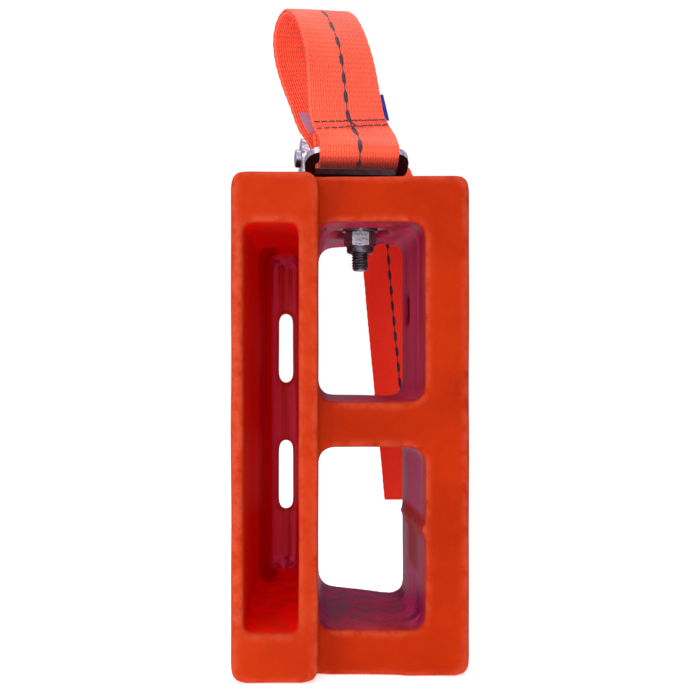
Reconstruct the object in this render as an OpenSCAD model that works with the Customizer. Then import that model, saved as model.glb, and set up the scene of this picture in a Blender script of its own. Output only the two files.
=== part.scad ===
// Strap-on guard block: a cast elastomer block with a trough and a two-window frame, and a cam
// buckle with a webbing loop that swivels on a bolt through the block's top.
// The base stands on Z = 0, X runs to the right, and the trough opens towards -Y.

/* [Block] */
// Width of the block
block_w = 102; // [101:0.5:103]
// Depth of the block, front to back
block_d = 124; // [123:0.5:125]
// Height of the block
block_h = 215; // [214:0.5:216]
// Radius of the outer corners in the front view
corner_r = 5.5; // [4:0.5:7]
// Width of the box that holds the trough
box_w = 37; // [36.5:0.25:37.5]

/* [Trough] */
// Width of the trough at its mouth
trough_w = 22.8; // [22:0.2:23.4]
// Height of the trough at its mouth
trough_h = 172; // [170:1:174]
// Depth of the trough
trough_depth = 117; // [116:0.5:118]
// Thickness of the trough's outer side wall
side_wall = 5.7; // [5.2:0.1:6]
// Width of the two fixing slots in the trough's back wall
slot_w = 7; // [6:0.5:8]
// Length of each fixing slot, end to end
slot_l = 37; // [34:1:38]
// Distance between the centres of the fixing slots
slot_pitch = 67.8; // [66:0.2:70]
// Height of the upper fixing slot's centre above the base
slot_z = 141.2; // [140:0.2:143]

/* [Frame] */
// Thickness of the frame's top bar
top_bar = 20; // [19.5:0.25:20.5]
// Thickness of the frame's bottom bar
bottom_bar = 19.6; // [19:0.2:20.4]
// Height of the middle bar's underside above the base
middle_z = 97.7; // [97:0.1:98.5]
// Thickness of the middle bar
middle_bar = 20.2; // [19.6:0.2:21]
// Width of the right rail at the front
rail_w = 19.2; // [18.6:0.2:19.8]
// How far the window's right wall leans in, from front to back
window_draft = 7; // [6:0.25:7.5]
// Radius of the windows' corners
window_r = 6; // [5:0.5:7]

/* [Bolt] */
// Distance of the bolt's axis to the right of the block's middle
bolt_x = 5.2; // [5:0.1:5.6]
// Distance of the bolt's axis behind the block's middle
bolt_y = -17; // [-17.5:0.5:-16.5]
// Nominal thread diameter
bolt_d = 8; // [8]
// Length of the bolt under its head
bolt_l = 45; // [44:0.5:46]
// Size of the nut and the bolt head across their flats
hex_flats = 13; // [13]

/* [Buckle] */
// Turn of the buckle on its bolt
buckle_yaw = 6.5; // [5:0.5:8]
// Distance of the frame's centre line to the left of the bolt
frame_offset = 4.2; // [4:0.1:4.5]
// Outer width of the buckle frame
frame_w = 43; // [42.5:0.25:43.5]
// Thickness of the frame's base and lip
plate_t = 3.5; // [3.4:0.05:3.6]
// Thickness of the frame's ears
ear_t = 3; // [2.8:0.1:3]
// Width of the bent-up lip
lip_w = 46; // [45:0.5:46]
// Angle of the lip above the base
lip_angle = 33; // [32:0.5:34]
// Length of the lip from its bend to its free edge
lip_l = 17.6; // [17.4:0.1:17.8]
// Diameter of the pivot pin
pin_d = 6; // [5.8:0.1:6]
// Height of the pivot pin above the frame's underside
pin_z = 15.5; // [15.4:0.1:15.8]
// Slope of the thumb plate when the cam is closed
thumb_angle = 20; // [18:1:22]
// Reach of the thumb plate from the pivot pin
thumb_l = 22; // [20:0.5:22]

/* [Webbing] */
// Width of the webbing
web_w = 35; // [34:0.5:35]
// Thickness of the webbing
web_t = 2.3; // [2:0.1:2.3]

/* [Hidden] */
$fn = 64;

cast = "orangered";
zinc = "silver";
cloth = "tomato";

left = -block_w / 2;
right = block_w / 2;
front = -block_d / 2;
back = block_d / 2;
past = 1;
box_right = left + box_w;

// Depths of the window frame's faces behind the block's front.
frame_front = [12.5, 9.4];
frame_back = [92, 63];
frame_root = 6;

// Trough: its flat bottom is narrower than its mouth, with a wide curve between.
trough_x = left + side_wall;
trough_z = 21.3;
trough_r = 2.5;
trough_curve = 11;
trough_bottom = [12.5, 5.5];
slot_x = trough_x + trough_w / 2 + 2.3;

window_l = right - rail_w - box_right;
window_depth = 84;
ceiling_drop = 4.4;
floor_rise = 2.2;

// Rib across the lower window's right wall, and the blind socket in the upper one.
rib_d = 7;
rib_z = 62.7;
rib_proud = 1.5;
socket_d = 12.5;
socket_y = -3;
socket_z = 159.4;
socket_end = 38;

// Bolt stack, from the window's ceiling up to the bolt head.
ceiling_z = block_h - top_bar;
recess_d = 27;
recess_l = 2.5;
recess_washer_d = 25;
recess_washer_t = 1.5;
washer_d = 16;
washer_t = 1.6;
washer_hole = 8.4;
sleeve_d = 12;
nut_hex_l = 7;
nut_collar_l = 3;
nut_collar_d = 12.4;
insert_d = 11;
head_l = 5.3;
thrust_d = 22;
thrust_t = 1;
gap = 0.1;
hex_d = hex_flats / cos(30);
nut_top = ceiling_z + recess_l - recess_washer_t - washer_t;
buckle_z = block_h + thrust_t + gap;
head_z = buckle_z + plate_t + gap + washer_t;

// Buckle: places along Y count from the bolt's axis, and heights from the frame's underside.
base_front = -9.2;
base_back = 32;
pin_y = 20;
ear_r = 9.5;
ear_front = 9;
bar_w = 7;
lip_slot_w = 37;
lip_slot_l = 6.8;
lip_corner_r = 7;
pin_head_d = 8.6;
pin_head_l = 3;
pin_tail_l = 3;
clip_d = 10;
clip_t = 1;
running = 0.06;

// Cam: a hub on the pin, a toothed nose that points down, and a thumb plate to the rear.
cam_w = 33;
cam_right = 11;
hub_d = 12;
nose_r = 9.1;
tooth_h = 1;
tooth_step = 8.8;
teeth = 5;
thumb_t = 2.4;
ridges = 5;
ridge_step = 3;
ridge_d = 1.4;

// Torsion spring on the pin, beside the cam.
wire_d = 1.1;
coil_d = 8.4;
coil_turns = 3;
coil_steps = 16;
coil_pitch = 1.25;
spring_x = 12.4;
spring_leg = 9;

// Webbing: room between layers, and the radius of its turn under the cam.
layer_gap = 0.3;
turn_r = 5;
turn_y = 15;
web_z = plate_t + web_t / 2 + layer_gap;
eye_long = 5.8;
eye_short = 3.9;

function rad_dir(a) = [cos(a), sin(a)];

// A point in the buckle's own frame, given on its centre line, in the block's frame.
function placed(y, z) = [
  bolt_x - frame_offset * cos(buckle_yaw) - y * sin(buckle_yaw),
  bolt_y - frame_offset * sin(buckle_yaw) + y * cos(buckle_yaw),
  buckle_z + z
];

// Middle of the lip's outer bar, and the eye of webbing around it as an ellipse.
bar_reach = lip_l - bar_w / 2;
bar_y = base_front - bar_reach * cos(lip_angle);
bar_z = plate_t / 2 + bar_reach * sin(lip_angle);
function eye_point(a) = placed(
  bar_y - eye_long * cos(a) * cos(lip_angle) + eye_short * sin(a) * sin(lip_angle),
  bar_z + eye_long * cos(a) * sin(lip_angle) + eye_short * sin(a) * cos(lip_angle)
);
function turn_point(a) = placed(turn_y + turn_r * cos(a), web_z + turn_r + turn_r * sin(a));

// Webbing routes: each row is a point on the centre line, then the turn of the width about Z
// and its tilt. The loop rises from the eye and ends behind the cam.
eye_rows = [for (a = [130:20:350]) concat(eye_point(a), [buckle_yaw + 1, 0])];
loop_rows = [
  [3.1, -40.2, 233, 10, 0],
  [0.8, -37.9, 237.5, 14, 1],
  [-1, -37.2, 242, 17, 1],
  [-2.2, -36.8, 250, 21, 3],
  [-3.5, -36, 262, 27, 5],
  [-5.4, -34.5, 274, 32, 7],
  [-8.4, -31.2, 284, 34, 8],
  [-11.6, -27, 291, 35, 9],
  [-15.2, -22, 294, 35, 9],
  [-18.4, -16.6, 291.6, 35, 9],
  [-20.1, -12.8, 285.5, 34, 8],
  [-19.4, -10.8, 276, 33, 7],
  [-16, -10, 266, 28, 5],
  [-11, -9.6, 255, 21, 3],
  [-6.8, -9.2, 246, 14, 2],
  [-1.6, -9.2, 238.5, 8, 0]
];
turn_rows = [for (a = [180:15:270]) concat(turn_point(a), [buckle_yaw, 0])];
exit_row = concat(placed(base_back + 2, web_z), [buckle_yaw, 0]);
tail_rows = [
  exit_row,
  concat(placed(base_back + 6, web_z), [buckle_yaw, 0]),
  [-2, 25.5, 223, -8, 0],
  [1.8, 31.5, 227, -20, 0],
  [7.4, 37.5, 231.5, -31, 0],
  [12.8, 43.6, 234.6, -37, 0],
  [17.4, 50.5, 235.2, -39, 0],
  [20.8, 58, 232, -38, 0],
  [22.8, 65, 225, -37, 0],
  [23.8, 70.5, 215, -36, 0],
  [24.4, 73.6, 203, -35, 0],
  [25.2, 75, 190, -35, 0],
  [26.6, 75.2, 174, -35, 0],
  [28, 74.8, 158, -35, 0],
  [29.5, 74.2, 142, -35, 0],
  [31, 73.5, 126, -35, 0],
  [32.5, 72.8, 110, -35, 0],
  [34, 72.2, 94, -35, 0],
  [35.6, 71.6, 76, -35, 0],
  [37.2, 71, 58, -35, 0]
];

// The stitched seam lies between the loop's second and third rows, as shares of the way up.
seam_low = 1;
seam_shares = [0.06, 0.68];
stitch_l = 2.4;
stitch_step = 3.4;
stitches = 10;
stitch_t = 0.7;
stitch_lift = 0.12;

// Two labels are held in the seam, between the front layer and the fold.
fold_gap = 0.9;
label_t = 0.4;
label_w = 10;
label_share = 0.75;

function point_of(row) = [row[0], row[1], row[2]];
function width_of(row) = [cos(row[3]) * cos(row[4]), sin(row[3]) * cos(row[4]), sin(row[4])];
function unit(v) = v / norm(v);

// Place, width direction and normal of a band at one of its rows, and a mix of two such frames.
function frame_at(rows, i) =
  let (
    last = len(rows) - 1,
    w = width_of(rows[i]),
    t = unit(point_of(rows[min(i + 1, last)]) - point_of(rows[max(i - 1, 0)]))
  )
  [point_of(rows[i]), unit(w - t * (w * t)), unit(cross(t, w))];
function mixed(a, b, share) = [for (k = [0:2]) a[k] * (1 - share) + b[k] * share];

// One ring of a flat band: eight points around its rounded edges.
function band_ring(f, w, t, side, off) = [
  for (s = [[0.5, 0.25], [0.47, 0.5], [-0.47, 0.5], [-0.5, 0.25],
            [-0.5, -0.25], [-0.47, -0.5], [0.47, -0.5], [0.5, -0.25]])
    f[0] + f[1] * (side + w * s[0]) + f[2] * (off + t * s[1])
];

// The fold's free end lies behind the loop's front layer, and its route runs down to the eye.
function behind(i) =
  concat(
    frame_at(loop_rows, i)[0] + frame_at(loop_rows, i)[2] * (web_t + fold_gap),
    [loop_rows[i][3], loop_rows[i][4]]
  );
fold_rows = [behind(seam_low + 1), behind(seam_low), [1.2, -35, 232, 10, 0]];

// Sweeps a ring of points along a route. Rings are lists of the same length.
module swept(rings) {
  sides = len(rings[0]);
  last = len(rings) - 1;
  polyhedron(
    points = [for (r = rings) for (p = r) p],
    faces = concat(
      [[for (j = [0:sides - 1]) j]],
      [for (i = [0:last - 1]) for (j = [0:sides - 1]) each [
        [i * sides + j, (i + 1) * sides + j, (i + 1) * sides + (j + 1) % sides],
        [i * sides + j, (i + 1) * sides + (j + 1) % sides, i * sides + (j + 1) % sides]
      ]],
      [[for (j = [sides - 1:-1:0]) last * sides + j]]
    )
  );
}

module band(rows) {
  swept([for (i = [0:len(rows) - 1]) band_ring(frame_at(rows, i), web_w, web_t, 0, 0)]);
}

// A rectangle with round corners, its lower left corner at the origin.
module round_rect(w, h, r) {
  translate([r, 0]) square([w - 2 * r, h]);
  translate([0, r]) square([w, h - 2 * r]);
  for (x = [r, w - r]) for (y = [r, h - r]) translate([x, y]) circle(r);
}

// The same outline stood up in the front view and carried back along Y.
module upright(w, h, d, r) {
  translate([0, d, 0]) rotate([90, 0, 0]) linear_extrude(d) round_rect(w, h, r);
}

module tube(od, id, l) {
  difference() {
    cylinder(d = od, h = l);
    translate([0, 0, -past]) cylinder(d = id, h = l + 2 * past);
  }
}

module at_bolt(z) {
  translate([bolt_x, bolt_y, z]) children();
}

module on_buckle() {
  translate([bolt_x, bolt_y, buckle_z]) rotate([0, 0, buckle_yaw]) translate([-frame_offset, 0, 0])
    children();
}

module frame_plan() {
  polygon([
    [box_right - frame_root, front + frame_front[0]],
    [box_right, front + frame_front[0]],
    [right, front + frame_front[1]],
    [right, front + frame_back[1]],
    [box_right, front + frame_back[0]],
    [box_right - frame_root, front + frame_back[0]]
  ]);
}

module trough_space() {
  wide_y = front + trough_depth - trough_curve;
  hull() {
    translate([trough_x, front - past, trough_z])
      upright(trough_w, trough_h, past, trough_r, $fn = 32);
    translate([trough_x + 1.4, wide_y, trough_z + 2.4])
      upright(trough_w - 3, trough_h - 4.8, 0.5, trough_r, $fn = 32);
    translate([slot_x - trough_bottom[0] / 2, front + trough_depth - 0.5, trough_z + 8])
      upright(trough_bottom[0], trough_h - 16, 0.5, trough_r, $fn = 32);
  }
}

module window_space(z, h, drop, rise) {
  hull() {
    translate([box_right, front + frame_front[1] - past, z])
      upright(window_l, h, past, window_r, $fn = 32);
    translate([box_right, front + frame_front[1] + window_depth, z + rise])
      upright(window_l - window_draft, h - drop - rise, past, window_r, $fn = 32);
  }
}

module fixing_slots() {
  for (z = [slot_z, slot_z - slot_pitch])
    translate([slot_x - slot_w / 2, back - 12, z - slot_l / 2])
      upright(slot_w, slot_l, 12 + past, slot_w / 2 - 0.001);
}

module window_rib() {
  lean = atan(window_draft / window_depth);
  reach = 60;
  translate([right - rail_w - rib_proud + rib_d / 2, front + frame_front[1], rib_z])
    rotate([0, 0, lean]) rotate([-90, 0, 0]) cylinder(d = rib_d, h = reach);
}

module block() {
  color(cast) {
    difference() {
      union() {
        translate([left, front, 0]) upright(box_w, block_h, block_d, corner_r);
        intersection() {
          translate([box_right - 2 * corner_r, front, 0])
            upright(block_w - box_w + 2 * corner_r, block_h, block_d, corner_r);
          linear_extrude(block_h) frame_plan();
        }
      }
      trough_space();
      fixing_slots();
      window_space(middle_z + middle_bar, ceiling_z - middle_z - middle_bar, ceiling_drop, 0);
      window_space(bottom_bar, middle_z - bottom_bar, 0, floor_rise);
      at_bolt(ceiling_z - past) cylinder(d = sleeve_d, h = top_bar + 2 * past);
      at_bolt(ceiling_z - 6) cylinder(d = recess_d, h = 6 + recess_l);
      translate([right - rail_w - window_draft, socket_y, socket_z]) rotate([0, 90, 0])
        cylinder(d = socket_d, h = socket_end - right + rail_w + window_draft);
    }
    intersection() {
      window_rib();
      linear_extrude(block_h) frame_plan();
    }
  }
}

module crush_sleeve() {
  color(zinc) at_bolt(ceiling_z + recess_l) tube(sleeve_d, washer_hole, top_bar - recess_l);
}

module recess_washer() {
  color(zinc) at_bolt(ceiling_z + recess_l - recess_washer_t)
    tube(recess_washer_d, washer_hole, recess_washer_t);
}

module plain_washer() {
  color(zinc) at_bolt(nut_top) tube(washer_d, washer_hole, washer_t);
}

module lock_nut() {
  color(zinc) at_bolt(nut_top - nut_hex_l - nut_collar_l) difference() {
    union() {
      cylinder(d = nut_collar_d, h = nut_collar_l + 1);
      translate([0, 0, nut_collar_l]) cylinder(d = hex_d, h = nut_hex_l, $fn = 6);
    }
    translate([0, 0, -past]) cylinder(d = bolt_d, h = nut_hex_l + nut_collar_l + 2 * past);
    translate([0, 0, 0.6]) cylinder(d = insert_d, h = nut_collar_l - 0.6);
  }
}

module nut_insert() {
  color("ivory") at_bolt(nut_top - nut_hex_l - nut_collar_l + 0.6)
    tube(insert_d, bolt_d, nut_collar_l - 0.6);
}

module bolt() {
  chamfer = 1;
  color(zinc) at_bolt(head_z) {
    cylinder(d = hex_d, h = head_l, $fn = 6);
    translate([0, 0, chamfer - bolt_l]) cylinder(d = bolt_d, h = bolt_l - chamfer);
    translate([0, 0, -bolt_l]) cylinder(d1 = bolt_d - 2 * chamfer, d2 = bolt_d, h = chamfer);
  }
}

module thrust_washer() {
  color(zinc) at_bolt(block_h) tube(thrust_d, washer_hole, thrust_t);
}

module head_washer() {
  color(zinc) at_bolt(head_z - washer_t) tube(washer_d, washer_hole, washer_t);
}

module ear_outline() {
  translate([ear_front, 0]) square([base_back - ear_front, pin_z - 3]);
  translate([pin_y - ear_r, 0]) square([2 * ear_r, pin_z]);
  translate([pin_y, pin_z]) circle(ear_r);
}

module lip() {
  translate([0, base_front, plate_t / 2]) rotate([-lip_angle, 0, 0]) difference() {
    translate([0, 0, -plate_t / 2]) linear_extrude(plate_t) {
      translate([-lip_w / 2, -lip_l]) round_rect(lip_w, lip_l, lip_corner_r);
      translate([-frame_w / 2, -lip_corner_r]) square([frame_w, lip_corner_r]);
    }
    translate([-lip_slot_w / 2, bar_w - lip_l, -plate_t])
      cube([lip_slot_w, lip_slot_l, 2 * plate_t]);
  }
}

module buckle_frame() {
  color("lightgray") difference() {
    on_buckle() {
      translate([-frame_w / 2, base_front, 0]) cube([frame_w, base_back - base_front, plate_t]);
      translate([-frame_w / 2, base_front, plate_t / 2]) rotate([0, 90, 0])
        cylinder(d = plate_t, h = frame_w);
      lip();
      for (x = [-frame_w / 2, frame_w / 2 - ear_t])
        translate([x, 0, 0]) rotate([90, 0, 90]) linear_extrude(ear_t) ear_outline();
    }
    at_bolt(buckle_z - past) cylinder(d = bolt_d + 2 * gap, h = plate_t + 2 * past);
    on_buckle() translate([-frame_w, pin_y, pin_z]) rotate([0, 90, 0])
      cylinder(d = pin_d, h = 2 * frame_w);
  }
}

module pivot_pin() {
  color(zinc) on_buckle() translate([-frame_w / 2 - pin_head_l, pin_y, pin_z]) rotate([0, 90, 0]) {
    cylinder(d = pin_head_d, h = pin_head_l);
    cylinder(d = pin_d, h = pin_head_l + frame_w + pin_tail_l);
  }
}

module pin_clip() {
  color(zinc) on_buckle() translate([frame_w / 2 + gap, pin_y, pin_z]) rotate([0, 90, 0])
    tube(clip_d, pin_d, clip_t);
}

// The nose's outline in the side view: teeth as points between two radii.
function nose_points() = [
  for (i = [0:2 * teeth])
    let (a = -90 + (i - teeth) * tooth_step / 2, r = nose_r - (i % 2) * tooth_h)
    rad_dir(a) * r
];

module cam_outline() {
  difference() {
    union() {
      circle(d = hub_d);
      polygon(concat([[0, 0]], nose_points()));
    }
    circle(d = pin_d + 2 * running);
  }
}

module thumb_outline(start) {
  rotate(thumb_angle) {
    translate([start, hub_d / 2 - thumb_t]) square([thumb_l - start, thumb_t]);
    for (i = [0:ridges - 1])
      translate([thumb_l - 2 - i * ridge_step, hub_d / 2]) circle(d = ridge_d);
  }
}

module cam_lever() {
  wide_start = hub_d / 2 + 1.5;
  color("darkgray") on_buckle() translate([0, pin_y, pin_z]) rotate([90, 0, 90]) {
    translate([0, 0, -cam_w / 2]) linear_extrude(cam_w / 2 + cam_right) {
      cam_outline();
      thumb_outline(2);
    }
    translate([0, 0, cam_right - past]) linear_extrude(cam_w / 2 - cam_right + past)
      thumb_outline(wide_start);
  }
}

// One ring of the spring's wire at a place on its centre line, with its two cross directions.
function wire_ring(p, u, v) = [
  for (a = [0:45:315]) p + (u * cos(a) + v * sin(a)) * wire_d / 2
];
function coil_ring(i) =
  let (a = -60 - 360 * i / coil_steps, x = spring_x + wire_d / 2 + coil_pitch * i / coil_steps)
  wire_ring(
    [x, cos(a) * coil_d / 2, sin(a) * coil_d / 2], [0, cos(a), sin(a)], [1, 0, 0]
  );
function leg_ring(i, reach) =
  let (
    a = -60 - 360 * i / coil_steps,
    along = [0, sin(a), -cos(a)],
    x = spring_x + wire_d / 2 + coil_pitch * i / coil_steps
  )
  wire_ring(
    [x, cos(a) * coil_d / 2, sin(a) * coil_d / 2] + along * reach,
    [0, cos(a), sin(a)], [1, 0, 0]
  );

module cam_spring() {
  steps = coil_turns * coil_steps + 4;
  color(zinc) on_buckle() translate([0, pin_y, pin_z]) swept(concat(
    [leg_ring(0, -2)],
    [for (i = [0:steps]) coil_ring(i)],
    [leg_ring(steps, spring_leg)]
  ));
}

module webbing_loop() {
  color(cloth) band(concat(fold_rows, eye_rows, loop_rows, turn_rows, [exit_row]));
}

module webbing_tail() {
  color(cloth) band(tail_rows);
}

module fold_stitching() {
  f = frame_at(loop_rows, seam_low);
  g = frame_at(loop_rows, seam_low + 1);
  out = web_t / 2 + stitch_lift + stitch_t / 2;
  color("indigo") for (share = seam_shares) {
    m = mixed(f, g, share);
    w = unit(m[1]);
    n = unit(m[2]);
    t = cross(w, n);
    for (i = [0:stitches - 1]) {
      p = m[0] + w * (i - (stitches - 1) / 2) * stitch_step - n * out;
      multmatrix([
        [w[0], n[0], t[0], p[0]],
        [w[1], n[1], t[1], p[1]],
        [w[2], n[2], t[2], p[2]],
        [0, 0, 0, 1]
      ]) cube([stitch_l, stitch_t, stitch_t], center = true);
    }
  }
}

// A label's rings follow the loop's rows from one row to part of the way past the next but one.
module label(side, low) {
  off = web_t / 2 + fold_gap / 2;
  frames = [for (i = [low:low + 2]) frame_at(loop_rows, i)];
  swept([
    for (f = [frames[0], frames[1], mixed(frames[1], frames[2], label_share)])
      band_ring(f, label_w, label_t, side, off)
  ]);
}

module blue_label() {
  color("navy") label(14.5, seam_low + 1);
}

module pale_label() {
  color("plum") label(-16.5, seam_low);
}

block();
crush_sleeve();
recess_washer();
plain_washer();
lock_nut();
nut_insert();
bolt();
thrust_washer();
head_washer();
buckle_frame();
pivot_pin();
pin_clip();
cam_lever();
cam_spring();
webbing_loop();
fold_stitching();
blue_label();
pale_label();
webbing_tail();
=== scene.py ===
"""Strap-on guard block with a cam buckle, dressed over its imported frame.

The block is cast urethane with a deep trough and two windows. A bolt through its top holds a
galvanised cam buckle, and the buckle holds a standing loop of webbing whose tail hangs behind.
Lengths in the dataclasses are millimetres unless a name says otherwise; meshes are in metres.
"""

import logging
import math
from dataclasses import dataclass, field, replace
from enum import Enum

import bmesh  # noqa: E402
import bpy  # noqa: E402
import numpy as np  # noqa: E402
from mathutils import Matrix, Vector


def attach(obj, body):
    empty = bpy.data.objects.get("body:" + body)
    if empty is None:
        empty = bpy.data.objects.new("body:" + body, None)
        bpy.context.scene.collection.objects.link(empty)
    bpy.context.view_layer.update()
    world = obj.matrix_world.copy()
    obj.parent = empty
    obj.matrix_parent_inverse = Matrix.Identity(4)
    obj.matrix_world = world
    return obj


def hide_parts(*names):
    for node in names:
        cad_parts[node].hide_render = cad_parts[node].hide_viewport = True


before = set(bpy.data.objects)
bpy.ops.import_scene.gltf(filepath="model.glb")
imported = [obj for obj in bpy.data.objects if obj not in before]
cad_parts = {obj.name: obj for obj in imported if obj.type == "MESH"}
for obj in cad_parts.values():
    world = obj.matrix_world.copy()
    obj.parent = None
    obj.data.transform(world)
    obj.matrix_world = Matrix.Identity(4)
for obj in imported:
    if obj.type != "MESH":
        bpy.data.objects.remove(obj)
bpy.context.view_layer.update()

log = logging.getLogger("guard_block")
MM = 0.001
TAU = 2 * math.pi
NEW_WELD = 1e-7  # metres within which a new mesh's points are one
CAD_WELD = 2e-6  # the same for a copy of a frame node
FLAT_ANGLE = math.radians(1)
SHARP_ANGLE = math.radians(42)
ORIGIN = (0.0, 0.0, 0.0)
BLACK = (0, 0, 0, 1)
WHITE = (1, 1, 1, 1)


class Body(Enum):
    """The frame's moving bodies."""

    BLOCK = "block"
    BUCKLE = "buckle"
    CAM = "cam"


class Slot(Enum):
    """The record's material slots."""

    URETHANE = "cast_urethane"
    ZINC = "zinc_steel"
    GALVANISED = "buckle_steel"
    SPRING = "spring_steel"
    NYLON = "nylon"
    WEBBING = "webbing"
    THREAD = "thread"
    BLUE = "blue_cloth"
    PALE = "pale_cloth"


# ---------------------------------------------------------------- meshes


def linked(name: str, data: bpy.types.ID) -> bpy.types.Object:
    """A new object round some data, linked to the scene."""
    made = bpy.data.objects.new(name, data)
    bpy.context.scene.collection.objects.link(made)
    return made


def ring_faces(rows: int, sides: int, close_rows: bool = False) -> np.ndarray:
    """Quads of a grid whose columns close on themselves.

    Args:
        rows: number of rings.
        sides: points in a ring.
        close_rows: whether the last ring joins the first.

    Returns:
        An (n, 4) array of point numbers.
    """
    last = rows if close_rows else rows - 1
    i = np.arange(last)[:, None]
    j = np.arange(sides)[None, :]
    k = (i + 1) % rows
    m = (j + 1) % sides
    quads = np.stack([i * sides + j, i * sides + m, k * sides + m, k * sides + j], axis=-1)
    return quads.reshape(-1, 4)


def end_caps(rows: int, sides: int) -> np.ndarray:
    """Quads that close both ends of a tube whose ring runs out on one face and back on the other.

    Args:
        rows: number of rings.
        sides: points in a ring, an even number.

    Returns:
        An (n, 4) array of point numbers.
    """
    i = np.arange(sides // 2 - 1)
    start = np.stack([i, sides - 1 - i, sides - 2 - i, i + 1], axis=-1)
    end = start[:, ::-1] + (rows - 1) * sides
    return np.concatenate([start, end])


def new_mesh(
    name: str, points: np.ndarray, faces: np.ndarray, uv: np.ndarray | None = None
) -> bpy.types.Object:
    """A smooth-shaded object from whole arrays, in metres, with its normals turned outwards.

    Args:
        name: the piece's name.
        points: (n, 3) places in metres.
        faces: (m, 4) point numbers.
        uv: (n, 2) pattern coordinates for the points.

    Returns:
        The new object, linked to the scene.
    """
    mesh = bpy.data.meshes.new(name)
    mesh.from_pydata(points.reshape(-1, 3).tolist(), [], faces.tolist())
    if uv is not None:
        layer = mesh.uv_layers.new(name="UVMap")
        loops = np.zeros(len(mesh.loops), np.int32)
        mesh.loops.foreach_get("vertex_index", loops)
        layer.data.foreach_set("uv", uv.reshape(-1, 2)[loops].astype(np.float32).ravel())
    shell = bmesh.new()
    shell.from_mesh(mesh)
    bmesh.ops.remove_doubles(shell, verts=shell.verts, dist=NEW_WELD)
    bmesh.ops.recalc_face_normals(shell, faces=shell.faces)
    shell.to_mesh(mesh)
    shell.free()
    mesh.polygons.foreach_set("use_smooth", np.ones(len(mesh.polygons), bool))
    mesh.set_sharp_from_angle(angle=SHARP_ANGLE)
    return linked(name, mesh)


def merged_copy(name: str, node: str) -> bpy.types.Object:
    """A copy of a frame node with its loose triangles merged and its flat faces joined.

    Args:
        name: the new piece's name.
        node: the frame node that it copies.

    Returns:
        The new object, linked to the scene.
    """
    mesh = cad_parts[node].data.copy()
    mesh.name = name
    shell = bmesh.new()
    shell.from_mesh(mesh)
    bmesh.ops.remove_doubles(shell, verts=shell.verts, dist=CAD_WELD)
    bmesh.ops.dissolve_limit(
        shell, angle_limit=FLAT_ANGLE, verts=shell.verts, edges=shell.edges
    )
    shell.to_mesh(mesh)
    shell.free()
    return linked(name, mesh)


def apply_modifiers(piece: bpy.types.Object) -> None:
    """Keeps the shape that the piece's modifiers give, and removes them."""
    graph = bpy.context.evaluated_depsgraph_get()
    shaped = bpy.data.meshes.new_from_object(piece.evaluated_get(graph))
    piece.modifiers.clear()
    piece.data = shaped


def dress(
    piece: bpy.types.Object,
    body: Body,
    slot: Slot,
    material: bpy.types.Material,
    *nodes: str,
) -> bpy.types.Object:
    """Gives a piece its body and finish, and hides the frame nodes that it stands for.

    Args:
        piece: the finished object.
        body: the body that it rides on.
        slot: not used.
        material: its finish.
        nodes: the frame nodes that it replaces.

    Returns:
        The same piece.
    """
    piece.data.materials.clear()
    piece.data.materials.append(material)
    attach(piece, body.value)
    if nodes:
        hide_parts(*nodes)
    log.info("%s: %d faces on %s", piece.name, len(piece.data.polygons), body.value)
    return piece


def smooth_path(rows: np.ndarray, step: float) -> tuple[np.ndarray, np.ndarray]:
    """Carries a route's rows along a smooth curve.

    Each value is a cubic between rows whose slope at a row is the change per length between its
    neighbours; the curve is then cut again at equal steps of length.

    Args:
        rows: (n, k) rows whose first three values are a place.
        step: wanted distance between the new rows.

    Returns:
        The new rows, and the length along the curve at each.
    """
    chord = np.linalg.norm(np.diff(rows[:, :3], axis=0), axis=1)
    t = np.concatenate([[0.0], np.cumsum(chord)])
    slope = np.gradient(rows, t, axis=0)
    fine = np.linspace(0, t[-1], 40 * len(rows))
    i = np.clip(np.searchsorted(t, fine, side="right") - 1, 0, len(t) - 2)
    h = (t[i + 1] - t[i])[:, None]
    u = (fine - t[i])[:, None] / h
    curve = (
        (2 * u**3 - 3 * u**2 + 1) * rows[i]
        + (u**3 - 2 * u**2 + u) * h * slope[i]
        + (3 * u**2 - 2 * u**3) * rows[i + 1]
        + (u**3 - u**2) * h * slope[i + 1]
    )
    gaps = np.linalg.norm(np.diff(curve[:, :3], axis=0), axis=1)
    run = np.concatenate([[0.0], np.cumsum(gaps)])
    count = max(2, int(round(run[-1] / step)) + 1)
    length = np.linspace(0, run[-1], count)
    even = np.stack([np.interp(length, run, column) for column in curve.T], axis=1)
    return even, length


def unit(vectors: np.ndarray) -> np.ndarray:
    """The same vectors with length one."""
    return vectors / np.linalg.norm(vectors, axis=-1, keepdims=True)


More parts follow.
